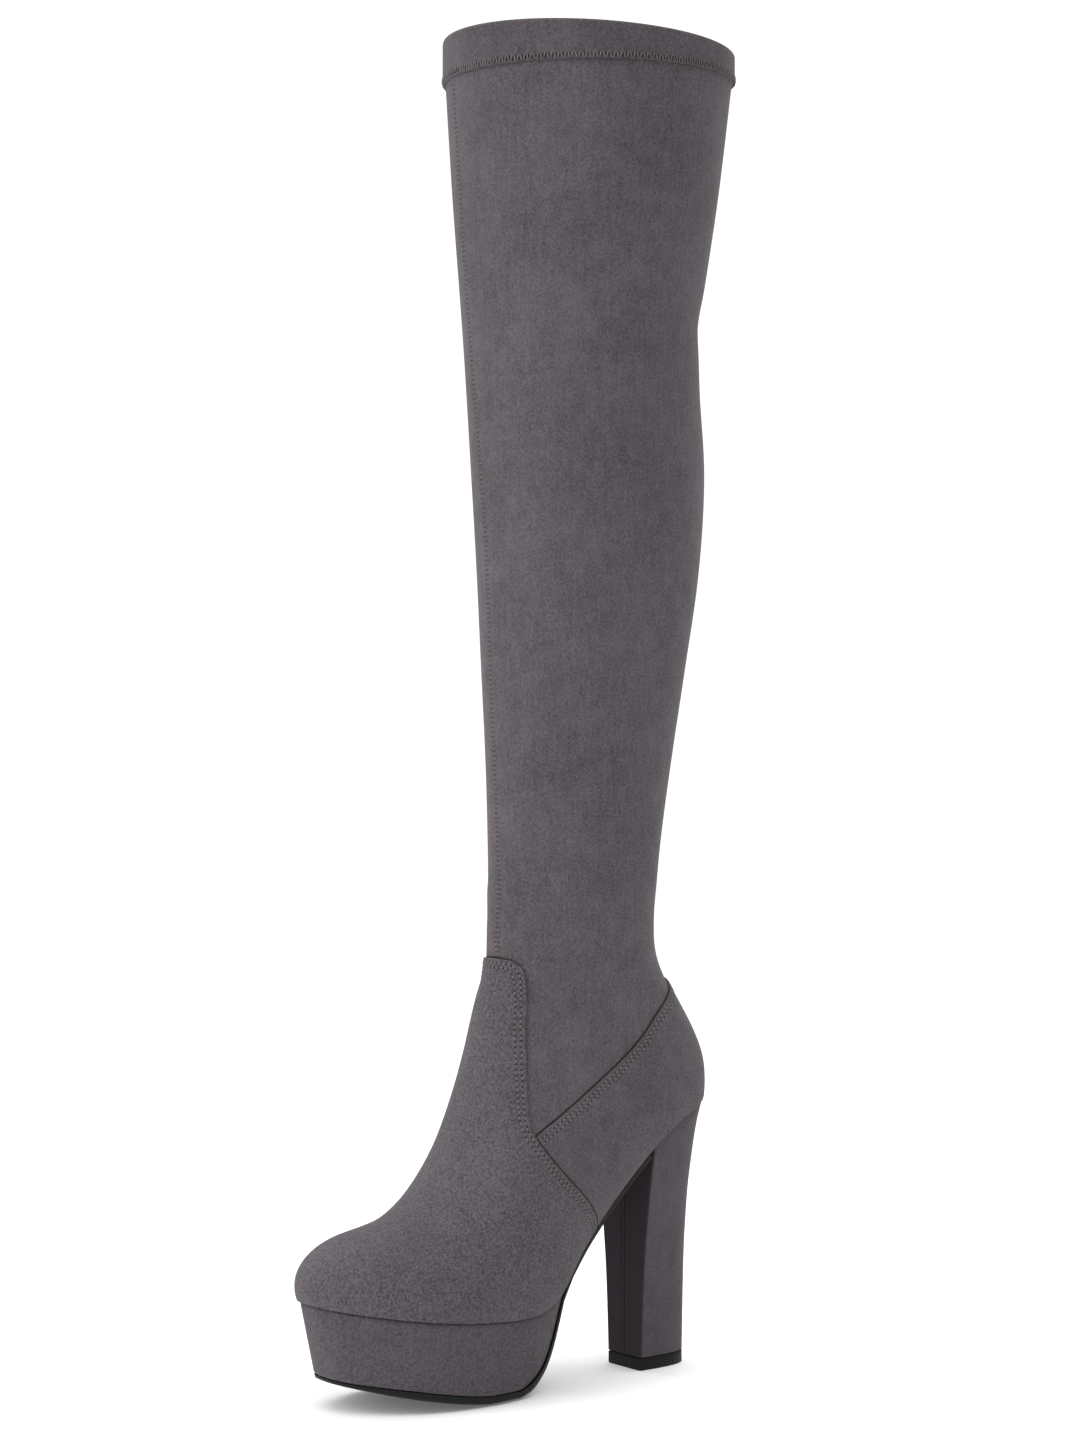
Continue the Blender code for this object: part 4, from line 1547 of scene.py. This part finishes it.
class BOOT_OT_stage(bpy.types.Operator):
    """Pale floor, soft studio lights and the camera"""

    bl_idname = "boot.stage"
    bl_label = "Stage"

    def light(self, name, spot, aim, size, power):
        deselect()
        bpy.ops.object.light_add(type="AREA", location=spot)
        lamp = bpy.context.object
        lamp.name = name
        lamp.data.shape = "RECTANGLE"
        lamp.data.size, lamp.data.size_y = size
        lamp.data.energy = power
        lamp.rotation_mode = "QUATERNION"
        lamp.rotation_quaternion = (Vector(aim) - Vector(spot)).to_track_quat("-Z", "Y")

    def execute(self, context):
        deselect()
        bpy.ops.mesh.primitive_circle_add(vertices=96, radius=1.7, fill_type="NGON", location=(0, 0, 0))
        floor = name_new("floor")
        paint = Finish("floor_paint")
        tone = paint.step(paint.noise(0.8, 2.0) * 0.5 + 0.5, 0.0, 1.0)
        base = tuple(cloth().floor)
        paint.feed(
            Base_Color=paint.blend(tone, tinted(base, 0.985), base), Roughness=0.7,
            Emission_Color=(1, 1, 1, 1), Emission_Strength=0.10,
        )
        floor.data.materials.append(paint.material)

        turn = math.radians(VIEW_TURN)
        right = Vector((math.sin(turn), math.cos(turn), 0))
        near = Vector((math.cos(turn), -math.sin(turn), 0))
        up = Vector((0, 0, 1))
        for name, towards, across, above, aim, wide, long, power in LIGHTS:
            spot = near * towards + right * across + up * above
            self.light(name, spot, Vector((0, 0.04, aim)), (wide, long), power)

        context.scene.view_settings.view_transform = "Standard"
        world = bpy.data.worlds.new("studio")
        context.scene.world = world
        world.use_nodes = True
        nodes, links = world.node_tree.nodes, world.node_tree.links
        seen, soft = nodes["Background"], nodes.new("ShaderNodeBackground")
        seen.inputs["Color"].default_value = soft.inputs["Color"].default_value = (1, 1, 1, 1)
        seen.inputs["Strength"].default_value = 1.1
        soft.inputs["Strength"].default_value = 0.49
        mix = nodes.new("ShaderNodeMixShader")
        links.new(nodes.new("ShaderNodeLightPath").outputs["Is Camera Ray"], mix.inputs["Fac"])
        links.new(soft.outputs[0], mix.inputs[1])
        links.new(seen.outputs[0], mix.inputs[2])
        links.new(mix.outputs[0], nodes["World Output"].inputs["Surface"])

        deselect()
        bpy.ops.object.camera_add(
            location=right * CAMERA_SHIFT + near * CAMERA_DISTANCE + up * CAMERA_HEIGHT,
            rotation=(math.radians(90), 0, math.radians(90 - VIEW_TURN)),
        )
        camera = bpy.context.object
        camera.name = "camera"
        camera.data.sensor_width = 36.0
        camera.data.lens = FOCAL_PIXELS / PHOTO_PIXELS * 36.0
        camera.data.clip_start = 0.05
        camera.data.clip_end = 100.0
        context.scene.camera = camera
        return {"FINISHED"}


class BOOT_PT_panel(bpy.types.Panel):
    """The boot's pieces, sizes and colours"""

    bl_label = "Thigh High Boot"
    bl_space_type = "VIEW_3D"
    bl_region_type = "UI"
    bl_category = "Boot"

    def draw(self, context):
        column = self.layout.column(align=True)
        for piece in PIECES:
            column.operator(piece.bl_idname)
        for group in (context.scene.boot_sizes, context.scene.boot_cloth):
            column = self.layout.column(align=True)
            for name in group.__annotations__:
                column.prop(group, name)


PIECES = (
    BOOT_OT_upper,
    BOOT_OT_hem,
    BOOT_OT_panels,
    BOOT_OT_stitches,
    BOOT_OT_bottom,
    BOOT_OT_heel,
    BOOT_OT_insole,
    BOOT_OT_stage,
)
CLASSES = (BootSizes, BootCloth, *PIECES, BOOT_PT_panel)


def register():
    for cls in CLASSES:
        bpy.utils.register_class(cls)
    bpy.types.Scene.boot_sizes = bpy.props.PointerProperty(type=BootSizes)
    bpy.types.Scene.boot_cloth = bpy.props.PointerProperty(type=BootCloth)


def unregister():
    del bpy.types.Scene.boot_cloth
    del bpy.types.Scene.boot_sizes
    for cls in reversed(CLASSES):
        bpy.utils.unregister_class(cls)


def main():
    register()
    bpy.ops.boot.upper()
    bpy.ops.boot.hem()
    bpy.ops.boot.panels()
    bpy.ops.boot.stitches()
    bpy.ops.boot.bottom()
    bpy.ops.boot.heel()
    bpy.ops.boot.insole()
    bpy.ops.boot.stage()


if __name__ == "__main__":
    main()
